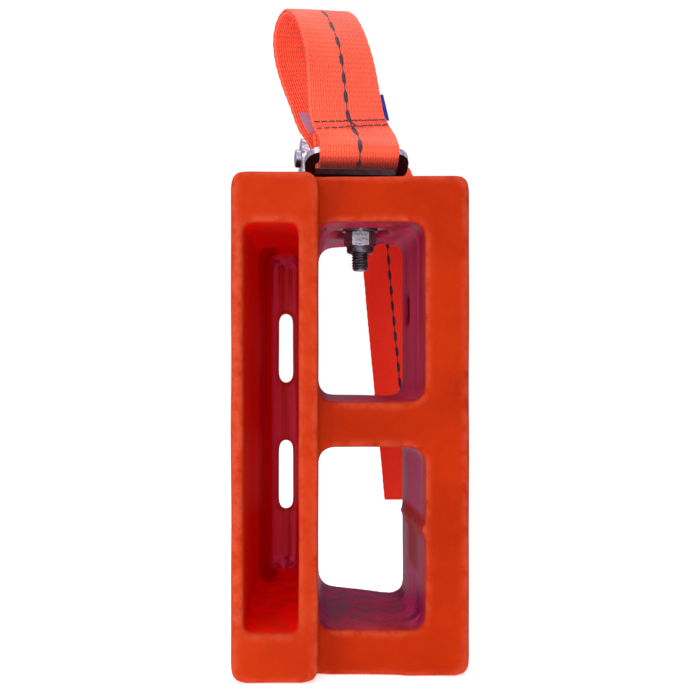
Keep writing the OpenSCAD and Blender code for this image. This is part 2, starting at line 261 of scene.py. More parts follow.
def tube(path: np.ndarray, radius: float, sides: int, hint: tuple) -> tuple:
    """A round wire carried along a path, closed at both ends by shrinking rings.

    A point is the path's point plus the radius times a turning sum of two directions that are
    square to the path; the last three rings at each end shrink to a dome.

    Args:
        path: (n, 3) points.
        radius: the wire's radius.
        sides: points in a ring.
        hint: a direction that the path never follows.

    Returns:
        Points and faces.
    """
    along = unit(np.gradient(path, axis=0))
    side = unit(np.cross(along, np.array(hint, float)))
    up = np.cross(side, along)
    dome, shift = np.array([0.02, 0.6, 0.9]), np.array([-1.0, -0.75, -0.35])
    path, along, side, up = (
        np.concatenate([v[:1]] * 3 + [v[1:-1]] + [v[-1:]] * 3) for v in (path, along, side, up)
    )
    plain = len(path) - 2 * len(dome)
    size = np.concatenate([dome, np.ones(plain), dome[::-1]])
    off = np.concatenate([shift, np.zeros(plain), -shift[::-1]])
    path = path + along * (off * radius)[:, None]
    a = np.linspace(0, TAU, sides, endpoint=False)[None, :, None]
    ring = side[:, None, :] * np.cos(a) + up[:, None, :] * np.sin(a)
    points = path[:, None, :] + ring * (radius * size)[:, None, None]
    faces = np.concatenate([ring_faces(len(path), sides), end_caps(len(path), sides)])
    return points.reshape(-1, 3), faces


def turned(profile: np.ndarray, sides: int, closed: bool) -> tuple:
    """A profile of (radius, height) rows turned about the Z axis.

    Args:
        profile: (n, 2) rows, or (n, sides, 2) where the radius or height changes round the axis.
        sides: points in a ring.
        closed: whether the profile is a closed loop, as on a washer.

    Returns:
        Points and faces.
    """
    if profile.ndim == 2:
        profile = np.repeat(profile[:, None, :], sides, axis=1)
    a = np.linspace(0, TAU, sides, endpoint=False)[None, :]
    r, z = profile[..., 0], profile[..., 1]
    points = np.stack([r * np.cos(a), r * np.sin(a), z], axis=-1)
    return points.reshape(-1, 3), ring_faces(len(profile), sides, closed)


def rounded_loop(a: np.ndarray, middle: tuple, half: tuple, power: float) -> tuple:
    """A loop between an ellipse and a box: sine and cosine raised to a power, signs kept."""
    c, s = np.cos(a), np.sin(a)
    return (
        middle[0] + half[0] * np.sign(c) * np.abs(c) ** power,
        middle[1] + half[1] * np.sign(s) * np.abs(s) ** power,
    )


# ---------------------------------------------------------------- shader helpers


class Tree:
    """Adds and joins nodes in one material or group."""

    def __init__(self, tree: bpy.types.NodeTree) -> None:
        """Starts with an empty tree."""
        self.tree = tree
        tree.nodes.clear()

    def add(self, kind: str, settings: dict | None = None, **inputs: object) -> bpy.types.Node:
        """Adds a node.

        Args:
            kind: the node's type name after "ShaderNode".
            settings: attributes of the node.
            inputs: socket values or sockets, by name with _ for a space.

        Returns:
            The node.
        """
        node = self.tree.nodes.new("ShaderNode" + kind)
        for key, value in (settings or {}).items():
            setattr(node, key, value)
        for key, value in inputs.items():
            self.feed(node.inputs[key.replace("_", " ")], value)
        return node

    def feed(self, socket: bpy.types.NodeSocket, value: object) -> None:
        """Sets a socket, or joins it to another."""
        if isinstance(value, bpy.types.NodeSocket):
            self.tree.links.new(value, socket)
        else:
            socket.default_value = value

    def calc(self, operation: str, *values: object) -> bpy.types.NodeSocket:
        """Adds a Math node and returns its result."""
        node = self.tree.nodes.new("ShaderNodeMath")
        node.operation = operation
        for socket, value in zip(node.inputs, values):
            self.feed(socket, value)
        return node.outputs[0]

    def blend(
        self, share: object, low: object, high: object, mode: str = "MIX"
    ) -> bpy.types.NodeSocket:
        """Adds a colour Mix node and returns its result."""
        node = self.tree.nodes.new("ShaderNodeMix")
        node.data_type = "RGBA"
        node.blend_type = mode
        self.feed(node.inputs[0], share)
        self.feed(node.inputs[6], low)
        self.feed(node.inputs[7], high)
        return node.outputs[2]

    def noise(
        self, where: object, scale: object, detail: float = 3, rough: float = 0.5
    ) -> bpy.types.NodeSocket:
        """Adds a noise texture and returns its value."""
        node = self.add("TexNoise", Vector=where, Scale=scale, Detail=detail, Roughness=rough)
        return node.outputs[0]

    def span(
        self, value: object, low: float, high: float, to_low: float = 0, to_high: float = 1
    ) -> bpy.types.NodeSocket:
        """Adds a Map Range node with a smooth step and returns its result."""
        ends = {"From_Min": low, "From_Max": high, "To_Min": to_low, "To_Max": to_high}
        return self.add(
            "MapRange", {"interpolation_type": "SMOOTHSTEP"}, Value=value, **ends
        ).outputs[0]

    def place(self, turn: tuple = (0, 0, 0), size: tuple = (1, 1, 1)) -> bpy.types.NodeSocket:
        """Object coordinates, turned and sized."""
        where = self.add("TexCoord").outputs["Object"]
        mapped = self.add("Mapping", Vector=where, Rotation=turn, Scale=size)
        return mapped.outputs[0]

    def group(self, tree: bpy.types.NodeTree, **inputs: object) -> bpy.types.Node:
        """Places a shared group with its own values."""
        node = self.tree.nodes.new("ShaderNodeGroup")
        node.node_tree = tree
        for key, value in inputs.items():
            self.feed(node.inputs[key.replace("_", " ")], value)
        return node


def start_group(name: str, inputs: dict, outputs: tuple) -> tuple[Tree, dict, bpy.types.Node]:
    """Starts a shader node group.

    Args:
        name: the group's name.
        inputs: default values by name; a tuple makes a vector or colour socket.
        outputs: names of the value outputs.

    Returns:
        The tree, its input sockets by name, and its output node.
    """
    tree = bpy.data.node_groups.new(name, "ShaderNodeTree")
    kinds = {3: "NodeSocketVector", 4: "NodeSocketColor"}
    for key, value in inputs.items():
        kind = kinds.get(len(value)) if isinstance(value, tuple) else "NodeSocketFloat"
        socket = tree.interface.new_socket(key, in_out="INPUT", socket_type=kind)
        socket.default_value = value
    for key in outputs:
        tree.interface.new_socket(key, in_out="OUTPUT", socket_type="NodeSocketFloat")
    made = Tree(tree)
    entry = tree.nodes.new("NodeGroupInput")
    leave = tree.nodes.new("NodeGroupOutput")
    return made, {s.name: s for s in entry.outputs if s.name}, leave


class SharedEffects:
    """The node groups that several finishes use, each built once."""

    def __init__(self) -> None:
        """Builds every group."""
        self.grain = self._grain()
        self.wear = self._wear()
        self.weave = self._weave()
        self.spangle = self._spangle()
        self.inside = self._inside()

    def _inside(self) -> bpy.types.NodeTree:
        """Mask of a box: one inside it, falling to nothing across its soft border."""
        tree, entry, leave = start_group(
            "inside", {"Vector": ORIGIN, "Low": ORIGIN, "High": ORIGIN, "Soft": 0.003}, ("Mask",)
        )
        mask = 1.0
        for low, high in ((entry["Low"], entry["Vector"]), (entry["Vector"], entry["High"])):
            gap = tree.add("VectorMath", {"operation": "SUBTRACT"})
            tree.feed(gap.inputs[0], high)
            tree.feed(gap.inputs[1], low)
            parts = tree.add("SeparateXYZ", Vector=gap.outputs[0])
            for axis in parts.outputs:
                step = tree.add("MapRange", Value=axis, From_Min=0.0, From_Max=entry["Soft"])
                mask = tree.calc("MULTIPLY", step.outputs[0], mask)
        tree.feed(leave.inputs["Mask"], mask)
        return tree.tree

    def _grain(self) -> bpy.types.NodeTree:
        """Fine pits and slow blotches of a cast or moulded surface."""
        tree, entry, leave = start_group(
            "grain", {"Vector": ORIGIN, "Fine": 900.0, "Blotch": 28.0}, ("Height", "Blotch")
        )
        fine = tree.noise(entry["Vector"], entry["Fine"], 2, 0.6)
        slow = tree.noise(entry["Vector"], entry["Blotch"], 4, 0.62)
        both = tree.calc("ADD", tree.calc("MULTIPLY", fine, 0.5), slow)
        tree.feed(leave.inputs["Height"], both)
        tree.feed(leave.inputs["Blotch"], tree.span(slow, 0.36, 0.66))
        return tree.tree

    def _wear(self) -> bpy.types.NodeTree:
        """Mask of edges that stand proud, broken up by noise."""
        tree, entry, leave = start_group(
            "edge wear",
            {"Vector": ORIGIN, "Low": 0.505, "High": 0.56, "Breakup": 220.0},
            ("Mask",),
        )
        edge = tree.add("NewGeometry").outputs["Pointiness"]
        share = tree.add(
            "MapRange", Value=edge, From_Min=entry["Low"], From_Max=entry["High"]
        ).outputs[0]
        rough = tree.span(tree.noise(entry["Vector"], entry["Breakup"], 4, 0.7), 0.3, 0.62)
        tree.feed(leave.inputs["Mask"], tree.calc("MULTIPLY", share, rough))
        return tree.tree

    def _weave(self) -> bpy.types.NodeTree:
        """Rows and columns of yarn on a cloth's own U and V, given in metres.

        A yarn's height is the root of the sine across its column times a rib, and the rib is a
        share of a power of the sine along it. Every second column is moved on by half a row.
        """
        rib_power, rib_share, twist = 0.7, 0.6, 0.06
        hollow_from, hollow_to = 0.76, 0.18
        tree, entry, leave = start_group(
            "weave",
            {"Vector": ORIGIN, "Column": 0.00117, "Row": 0.0022},
            ("Height", "Hollow", "Strand"),
        )
        split = tree.add("SeparateXYZ", Vector=entry["Vector"])
        column = tree.calc("DIVIDE", split.outputs[0], entry["Column"])
        row = tree.calc("DIVIDE", split.outputs[1], entry["Row"])
        half = tree.calc("FRACT", tree.calc("MULTIPLY", tree.calc("FLOOR", column), 0.5))
        odd = tree.calc("MULTIPLY", half, 0.5)
        across = tree.calc("SINE", tree.calc("MULTIPLY", tree.calc("FRACT", column), math.pi))
        turn = tree.calc("MULTIPLY", tree.calc("ADD", row, odd), math.pi)
        along = tree.calc("ABSOLUTE", tree.calc("SINE", turn))
        rib = tree.calc("MULTIPLY", tree.calc("POWER", along, rib_power), rib_share)
        rib = tree.calc("ADD", rib, 1 - rib_share)
        height = tree.calc("MULTIPLY", tree.calc("POWER", across, 0.5), rib)
        lean = tree.calc("ADD", tree.calc("MULTIPLY", column, 4.0), tree.calc("MULTIPLY", row, 1.5))
        strand = tree.calc("SINE", tree.calc("MULTIPLY", lean, TAU))
        fine = tree.calc("MULTIPLY", strand, twist)
        tree.feed(leave.inputs["Height"], tree.calc("ADD", height, fine))
        # Hollow marks where the yarn is low, between yarns, for painted shade.
        tree.feed(leave.inputs["Hollow"], tree.span(height, hollow_from, hollow_to))
        tree.feed(leave.inputs["Strand"], strand)
        return tree.tree

    def _spangle(self) -> bpy.types.NodeTree:
        """Crystal patches of a zinc coat, with fine scratches."""
        tree, entry, leave = start_group(
            "spangle",
            {"Vector": ORIGIN, "Patch": 420.0, "Scratch": 700.0},
            ("Patch", "Scratch"),
        )
        cells = tree.add("TexVoronoi", Vector=entry["Vector"], Scale=entry["Patch"])
        tone = tree.add("SeparateColor", Color=cells.outputs["Color"]).outputs[0]
        stretched = tree.add("Mapping", Vector=entry["Vector"], Scale=(1, 0.08, 1))
        lines = tree.noise(stretched.outputs[0], entry["Scratch"], 3, 0.7)
        tree.feed(leave.inputs["Patch"], tone)
        tree.feed(leave.inputs["Scratch"], tree.span(lines, 0.45, 0.75))
        return tree.tree


@dataclass(frozen=True)
class Region:
    """A box in metres, with a border that is soft inwards."""

    low: tuple
    high: tuple
    soft: float = 0.0025

    def mask(self, tree: Tree, shared: SharedEffects) -> bpy.types.NodeSocket:
        """Adds the box's mask."""
        node = tree.group(
            shared.inside, Vector=tree.place(), Low=self.low, High=self.high, Soft=self.soft
        )
        return node.outputs["Mask"]


def start_material(name: str, **plain: object) -> tuple[Tree, bpy.types.Node]:
    """A new material with a Principled shader and the plain values set on it.

    Args:
        name: the material's name.
        plain: values of the shader's own sockets, by name with _ for a space.

    Returns:
        The tree and the shader node.
    """
    material = bpy.data.materials.new(name)
    material.use_nodes = True
    tree = Tree(material.node_tree)
    shader = tree.add("BsdfPrincipled", **plain)
    leave = tree.add("OutputMaterial")
    tree.feed(leave.inputs["Surface"], shader.outputs[0])
    return tree, shader


def feed_surface(
    tree: Tree, shader: bpy.types.Node, colour: object, rough: object, height: object, bump: tuple
) -> None:
    """Feeds a shader its colour, its roughness and a bump of the given strength and distance."""
    tree.feed(shader.inputs["Base Color"], colour)
    tree.feed(shader.inputs["Roughness"], rough)
    strength, distance = bump
    node = tree.add("Bump", Strength=strength, Distance=distance, Height=height)
    tree.feed(shader.inputs["Normal"], node.outputs[0])


# ---------------------------------------------------------------- finishes


@dataclass(frozen=True)
class Hollow:
    """One region of the block with its own colours, mostly painted shade and reflection, its
    roughness and a painted glow for inner light.
    """

    box: Region
    light: tuple
    dark: tuple
    rough: float
    glow: tuple = BLACK


@dataclass(frozen=True)
class CastUrethane:
    """Satin cast urethane: orange outside, with painted shade and a painted glow in its hollows.

    The hollows are the trough, its deep left side, the upper window, the lower window, the
    trough's bottom, the blind socket, the dark mark below the rib and the rib. A later one covers
    an earlier one. Their colours are painted shade, with painted purple and pink reflection in
    streaks on the windows and the trough's bottom; the mark below the rib is only darker. Their
    glow is painted light that stands for light that the pale wall lets through.
    """

    base: tuple = (0.50, 0.034, 0.0035, 1)
    deep: tuple = (0.43, 0.025, 0.0018, 1)
    # The block's right part takes darker, deeper red colours in this box: painted shade.
    shaded_frame_base: tuple = (0.435, 0.024, 0.0008, 1)
    shaded_frame_deep: tuple = (0.365, 0.017, 0.0006, 1)
    shaded_frame_box: Region = Region((-0.0130, -0.0560, -0.0100), (0.0600, 0.1000, 0.2300), 0.004)
    pale: tuple = (0.60, 0.090, 0.040, 1)
    pale_share: float = 0.8
    stain: tuple = (0.10, 0.012, 0.012, 1)
    stain_share: float = 0.5
    drip_height: float = 0.8
    streak_rough: float = 0.14
    hollows: tuple = (
        # The trough: painted shade in deep red, with a painted glow.
        Hollow(Region((-0.0465, -0.0605, 0.0195), (-0.0215, 0.0560, 0.1950)),
               (0.74, 0.0022, 0.0006, 1), (0.60, 0.0010, 0.0004, 1), 0.72, (0.11, 0.0, 0.0, 1)),
        # Its deep left side: a darker band of painted shade, with a weaker painted glow.
        Hollow(Region((-0.0465, 0.0240, 0.0195), (-0.0345, 0.0562, 0.1950)),
               (0.50, 0.0006, 0.0004, 1), (0.34, 0.0004, 0.0003, 1), 0.72, (0.055, 0.0, 0.0, 1)),
        # The upper window: painted shade with painted purple reflection in streaks, and a painted
        # glow.
        Hollow(Region((-0.0148, -0.0500, 0.1165), (0.0330, 0.0300, 0.1965)),
               (0.50, 0.020, 0.080, 1), (0.16, 0.0008, 0.016, 1), 0.46, (0.035, 0.0, 0.006, 1)),
        # The lower window: the same painted shade, painted purple reflection and painted glow.
        Hollow(Region((-0.0148, -0.0500, 0.0185), (0.0330, 0.0300, 0.0985)),
               (0.44, 0.028, 0.130, 1), (0.13, 0.0008, 0.026, 1), 0.46, (0.025, 0.0, 0.008, 1)),
        # The trough's bottom: painted pink reflection in streaks over painted shade, and a painted
        # glow.
        Hollow(Region((-0.0395, 0.0440, 0.0240), (-0.0245, 0.0562, 0.1905)),
               (0.66, 0.090, 0.20, 1), (0.24, 0.003, 0.016, 1), 0.30, (0.05, 0.0, 0.003, 1)),
        # The blind socket: painted shade, near black.
        Hollow(Region((0.0270, -0.0125, 0.1500), (0.0405, 0.0065, 0.1690)),
               (0.10, 0.002, 0.004, 1), (0.05, 0.001, 0.002, 1), 0.60),
        # Below the rib: a darker red mark, with a painted glow.
        Hollow(Region((0.0180, -0.0360, 0.0400), (0.0330, -0.0080, 0.0640)),
               (0.32, 0.004, 0.012, 1), (0.16, 0.001, 0.004, 1), 0.50, (0.015, 0.0, 0.001, 1)),
        # The rib: painted shade in darker red, with a painted glow.
        Hollow(Region((0.0180, -0.0500, 0.0565), (0.0330, 0.0300, 0.0692)),
               (0.38, 0.006, 0.004, 1), (0.24, 0.002, 0.002, 1), 0.54, (0.018, 0.0, 0.0, 1)),
    )

    def material(self, shared: SharedEffects) -> bpy.types.Material:
        """Builds the finish from the shared grain, wear and box masks."""
        name = "cast_urethane_skin"
        tree, shader = start_material(
            name,
            Subsurface_Weight=0.06,
            Subsurface_Radius=(1.0, 0.12, 0.04),
            Subsurface_Scale=0.002,
            IOR=1.27,
            Specular_IOR_Level=0.22,
            Emission_Strength=1.0,
            Specular_Tint=(1.0, 0.50, 0.42, 1),
        )
        here = tree.place()
        grain = tree.group(shared.grain, Vector=here, Fine=1400.0, Blotch=24.0)
        wear = tree.group(shared.wear, Vector=here, Low=0.505, High=0.55, Breakup=160.0)
        drips = tree.noise(tree.place(size=(1, 1, 0.09)), 190.0, 4, 0.6)
        blotch = grain.outputs["Blotch"]
        # Painted shade: inside the box, the right part's darker colours replace the base.
        body = tree.blend(
            self.shaded_frame_box.mask(tree, shared),
            tree.blend(blotch, self.deep, self.base),
            tree.blend(blotch, self.shaded_frame_deep, self.shaded_frame_base),
        )
        worn = tree.calc("MULTIPLY", wear.outputs["Mask"], self.pale_share)
        body = tree.blend(worn, body, self.pale)
        rough = tree.calc("ADD", tree.span(drips, 0.35, 0.65, 0.44, 0.56), worn)
        streak = tree.noise(tree.place(size=(1, 1, 0.035)), 95.0, 5, 0.66)
        run = tree.span(streak, 0.43, 0.57)
        glow = BLACK
        # Each hollow paints its shade with lighter streaks and adds a painted glow.
        for hollow in self.hollows:
            mask = hollow.box.mask(tree, shared)
            body = tree.blend(mask, body, tree.blend(run, hollow.dark, hollow.light))
            glow = tree.blend(mask, glow, hollow.glow)
            outside = tree.calc("MULTIPLY", rough, tree.calc("SUBTRACT", 1.0, mask))
            wall = tree.span(run, 0, 1, hollow.rough, hollow.rough + self.streak_rough)
            rough = tree.calc("ADD", outside, tree.calc("MULTIPLY", mask, wall))
        spots = tree.noise(tree.place(size=(1, 1, 0.35)), 55.0, 6, 0.72)
        spots = tree.calc("MULTIPLY", tree.span(spots, 0.68, 0.80), self.stain_share)
        body = tree.blend(spots, body, self.stain)
        # The hollows' painted glow goes out as emission.
        tree.feed(shader.inputs["Emission Color"], glow)
        drip = tree.calc("MULTIPLY", drips, self.drip_height)
        height = tree.calc("ADD", grain.outputs["Height"], drip)
        feed_surface(tree, shader, body, rough, height, (0.35, 0.0006))
        return bpy.data.materials[name]


@dataclass(frozen=True)
class WovenCloth:
    """Webbing or label cloth, with an optional dashed tracer down its middle."""

    name: str
    base: tuple
    shade: tuple
    # A painted glow that stands in for the webbing's fluorescence.
    glow: tuple = (0, 0, 0, 1)
    glow_strength: float = 0.0
    column: float = 0.00117
    row: float = 0.0022
    tracer: bool = False
    tracer_colour: tuple = (0.022, 0.006, 0.032, 1)
    tracer_pitch: float = 0.0085
    tracer_shift: float = 0.0
    tracer_half: tuple = (0.00032, 0.00098)
    # Painted shade on the wrap under the lip, in this box.
    painted_shade: tuple = (0.10, 0.001, 0.001, 1)
    painted_shade_box: Region = Region((-0.04, -0.060, 0.2050), (0.04, -0.030, 0.2250), 0.0045)
    painted_shade_share: float = 0.9
    # deep is painted shade: the cloth turns deeper red between deep_heights.
    deep: tuple | None = None
    deep_heights: tuple = (0.235, 0.195)
    dirt_share: float = 0.22
    strand_rough: float = 0.05
    sheen: float = 0.55
    shine: float = 0.3
    roughness: float = 0.72

    def material(self, shared: SharedEffects) -> bpy.types.Material:
        """Builds the cloth on the piece's own U and V, in metres.

        Painted shade darkens the wrap under the lip; a deeper red painted shade takes over between
        two heights.
        """
        tree, shader = start_material(
            self.name,
            Sheen_Weight=self.sheen,
            Sheen_Roughness=0.45,
            Sheen_Tint=(1.0, 0.70, 0.60, 1),
            Specular_IOR_Level=self.shine,
            Emission_Strength=self.glow_strength,
        )
        flat = tree.add("UVMap", {"uv_map": "UVMap"}).outputs[0]
        weave = tree.group(shared.weave, Vector=flat, Column=self.column, Row=self.row)
        grime = tree.noise(tree.place(), 60.0, 4, 0.6)
        dirt = tree.span(grime, 0.35, 0.75, 0.0, self.dirt_share)
        # Painted shade between the yarns, where the weave is low.
        body = tree.blend(weave.outputs["Hollow"], self.base, self.shade)
        # Random dirt darkens towards the same colour as the painted shade.
        body = tree.blend(dirt, body, self.shade)
        # Painted shade: the wrap under the lip is darkened in the box.
        low = tree.calc("MULTIPLY", self.painted_shade_box.mask(tree, shared), self.painted_shade_share)
        body = tree.blend(low, body, self.painted_shade)
        # Painted shade: deeper red lower down on the tail.
        if self.deep is not None:
            height = tree.add("SeparateXYZ", Vector=tree.place()).outputs[2]
            body = tree.blend(tree.span(height, *self.deep_heights), body, self.deep)
        if self.tracer:
            body = tree.blend(self._tracer_mask(tree, flat), body, self.tracer_colour)
        # The painted glow, tinted by the cloth's colour, goes out as emission.
        lit = tree.blend(1.0, body, self.glow, "MULTIPLY")
        tree.feed(shader.inputs["Emission Color"], lit)
        rough = tree.calc("MULTIPLY", weave.outputs["Strand"], self.strand_rough)
        rough = tree.calc("ADD", rough, self.roughness)
        feed_surface(tree, shader, body, rough, weave.outputs["Height"], (0.6, 0.00022))
        return bpy.data.materials[self.name]

    def _tracer_mask(self, tree: Tree, flat: bpy.types.NodeSocket) -> bpy.types.NodeSocket:
        """Spindle-shaped dashes joined by a hair line: the half width swells with a cosine of V."""
        split = tree.add("SeparateXYZ", Vector=flat)
        off = tree.calc("ABSOLUTE", split.outputs[0])
        shifted = tree.calc("SUBTRACT", split.outputs[1], self.tracer_shift)
        turn = tree.calc("DIVIDE", shifted, self.tracer_pitch)
        swell = tree.calc("COSINE", tree.calc("MULTIPLY", turn, TAU))
        half = tree.span(swell, -0.9, 0.6, *self.tracer_half)
        return tree.span(tree.calc("SUBTRACT", half, off), -0.00006, 0.00012)


@dataclass(frozen=True)
class CoatedSteel:
    """Zinc-coated steel: grey patches, fine scratches and bright worn edges."""

    name: str
    light: tuple
    dark: tuple
    edge: tuple = (0.74, 0.74, 0.80, 1)
    # Painted shade on faces that look down and in a box at the base's front edge under the lip;
    # underside sets its strength.
    painted_shade: tuple = (0.030, 0.0008, 0.0008, 1)
    underside: float = 0.0
    painted_shade_box: Region = Region((-0.04, -0.045, 0.2140), (0.04, -0.0195, 0.2236), 0.0012)
    scratch_rough: float = 0.12
    patch: float = 420.0
    rough_low: float = 0.30
    rough_high: float = 0.48
    bump: float = 0.00006

    def material(self, shared: SharedEffects) -> bpy.types.Material:
        """Builds the coat from the shared spangle and wear.

        Painted shade lies on faces that look down and in its box, as strongly as underside says.
        """
        tree, shader = start_material(self.name, Specular_IOR_Level=0.5)
        here = tree.place()
        coat = tree.group(shared.spangle, Vector=here, Patch=self.patch, Scratch=900.0)
        wear = tree.group(shared.wear, Vector=here, Low=0.52, High=0.64, Breakup=900.0)
        body = tree.blend(coat.outputs["Patch"], self.dark, self.light)
        grime = tree.span(tree.noise(here, 260.0, 5, 0.65), 0.5, 0.72, 0, 0.5)
        body = tree.blend(grime, body, self.dark)
        body = tree.blend(wear.outputs["Mask"], body, self.edge)
        # Painted shade on faces that look down and in the box.
        lie = tree.add("SeparateXYZ", Vector=tree.add("NewGeometry").outputs["Normal"])
        under = tree.span(tree.calc("MULTIPLY", lie.outputs[2], -1.0), 0.05, 0.5)
        under = tree.calc("MAXIMUM", under, self.painted_shade_box.mask(tree, shared))
        body = tree.blend(tree.calc("MULTIPLY", under, self.underside), body, self.painted_shade)
        tree.feed(shader.inputs["Metallic"], tree.span(grime, 0, 0.5, 0.95, 0.8))
        scratch = coat.outputs["Scratch"]
        rough = tree.span(coat.outputs["Patch"], 0, 1, self.rough_low, self.rough_high)
        rough = tree.calc("ADD", rough, tree.calc("MULTIPLY", scratch, self.scratch_rough))
        height = tree.calc("ADD", scratch, tree.noise(here, 1300.0, 3, 0.6))
        feed_surface(tree, shader, body, rough, height, (0.5, self.bump))
        return bpy.data.materials[self.name]


@dataclass(frozen=True)
class MouldedNylon:
    """Matt nylon with a fine moulded grain."""

    base: tuple = (0.10, 0.13, 0.36, 1)
    worn: tuple = (0.24, 0.27, 0.48, 1)

    def material(self, shared: SharedEffects) -> bpy.types.Material:
        """Builds the finish from the shared grain."""
        tree, shader = start_material("moulded_nylon", Specular_IOR_Level=0.4)
        grain = tree.group(shared.grain, Vector=tree.place(), Fine=2600.0, Blotch=380.0)
        blotch = grain.outputs["Blotch"]
        body = tree.blend(blotch, self.base, self.worn)
        rough = tree.span(blotch, 0, 1, 0.42, 0.6)
        feed_surface(tree, shader, body, rough, grain.outputs["Height"], (0.4, 0.00008))
        return bpy.data.materials["moulded_nylon"]


@dataclass(frozen=True)
class TwistedThread:
    """Bonded thread whose twist shows as a slanting band round each stitch."""

    base: tuple = (0.030, 0.008, 0.030, 1)
    light: tuple = (0.16, 0.045, 0.09, 1)

    def material(self, shared: SharedEffects) -> bpy.types.Material:
        """Builds the twist from a slanted wave over the shared grain."""
        tree, shader = start_material(
            "twisted_thread", Sheen_Weight=0.4, Sheen_Roughness=0.4, Specular_IOR_Level=0.35
        )
        here = tree.place(turn=(0, 0.7, 0.4))
        wave = tree.add("TexWave", Vector=here, Scale=900.0, Distortion=1.5, Detail=2.0)
        grain = tree.group(shared.grain, Vector=here, Fine=3500.0, Blotch=500.0)
        share = tree.calc("MULTIPLY", wave.outputs["Fac"], grain.outputs["Blotch"])
        body = tree.blend(share, self.base, self.light)
        rough = tree.span(share, 0, 1, 0.55, 0.8)
        feed_surface(tree, shader, body, rough, wave.outputs["Fac"], (0.6, 0.0001))
        return bpy.data.materials["twisted_thread"]


class FinishSet:
    """Every finish of the object, built once."""

    def __init__(self) -> None:
        """Builds the shared effects and then the materials."""
        shared = SharedEffects()
        strap = WovenCloth(
            "strap_cloth",
            base=(0.95, 0.112, 0.034, 1),
            shade=(0.56, 0.015, 0.004, 1),
            # A painted glow for the webbing's fluorescence.
            glow=(1.0, 0.10, 0.02, 1),
            glow_strength=0.12,
            roughness=0.55,
            shine=0.5,
            sheen=0.42,
            tracer=True,
            tracer_shift=0.0016,
        )
        self.urethane = CastUrethane().material(shared)
        self.strap = strap.material(shared)
        # The tail's cloth is a shaded copy of the strap's: painted shade, deeper red lower down,
        # with less shine and sheen.
        self.tail = replace(
            strap,
            name="strap_tail_cloth",
            shade=(0.66, 0.022, 0.003, 1),
            deep=(0.78, 0.026, 0.002, 1),
            shine=0.25,
            sheen=0.08,
        ).material(shared)
        blue = WovenCloth(
            "blue_label_cloth",
            base=(0.018, 0.035, 0.34, 1),
            shade=(0.006, 0.010, 0.10, 1),
            column=0.00035,
            row=0.0005,
            sheen=0.1,
        )
        self.blue = blue.material(shared)
        self.pale = replace(
            blue,
            name="pale_label_cloth",
            base=(0.46, 0.20, 0.30, 1),
            shade=(0.26, 0.08, 0.14, 1),
        ).material(shared)
        self.zinc = CoatedSteel(
            "zinc_plate",
            light=(0.17, 0.16, 0.20, 1),
            dark=(0.050, 0.044, 0.062, 1),
            patch=900.0,
            rough_low=0.38,
            rough_high=0.55,
        ).material(shared)
        self.galvanised = CoatedSteel(
            "galvanised_coat",
            light=(0.52, 0.51, 0.60, 1),
            dark=(0.32, 0.30, 0.37, 1),
            rough_low=0.38,
            rough_high=0.58,
            # Strong painted shade on the frame's downward faces and under the lip.
            underside=0.96,
        ).material(shared)
        self.spring = CoatedSteel(
            "spring_wire",
            light=(0.48, 0.48, 0.50, 1),
            dark=(0.22, 0.21, 0.22, 1),
            patch=1500.0,
            rough_low=0.22,
            rough_high=0.34,
        ).material(shared)
        self.nylon = MouldedNylon().material(shared)
        self.thread = TwistedThread().material(shared)


# ---------------------------------------------------------------- buckle's own frame


@dataclass(frozen=True)
class BuckleSeat:
    """Where the buckle sits on its bolt: its places count from the bolt's axis."""

    bolt: tuple = (5.2, -17.0)
    yaw: float = math.radians(6.5)
    offset: float = 4.2
    base_z: float = 216.1

    def world(self, points: np.ndarray) -> np.ndarray:
        """Turns points of the buckle's own frame into the block's frame, in millimetres."""
        x, y, z = points[..., 0] - self.offset, points[..., 1], points[..., 2]
        c, s = math.cos(self.yaw), math.sin(self.yaw)
        return np.stack(
            [self.bolt[0] + x * c - y * s, self.bolt[1] + x * s + y * c, self.base_z + z],
            axis=-1,
        )

    def row(self, y: float, z: float, turn: float, tilt: float = 0.0) -> list[float]:
        """A webbing row on the buckle's centre line."""
        place = self.world(np.array([0.0, y, z]))
        return [*place.tolist(), turn, tilt]


SEAT = BuckleSeat()


# ---------------------------------------------------------------- webbing


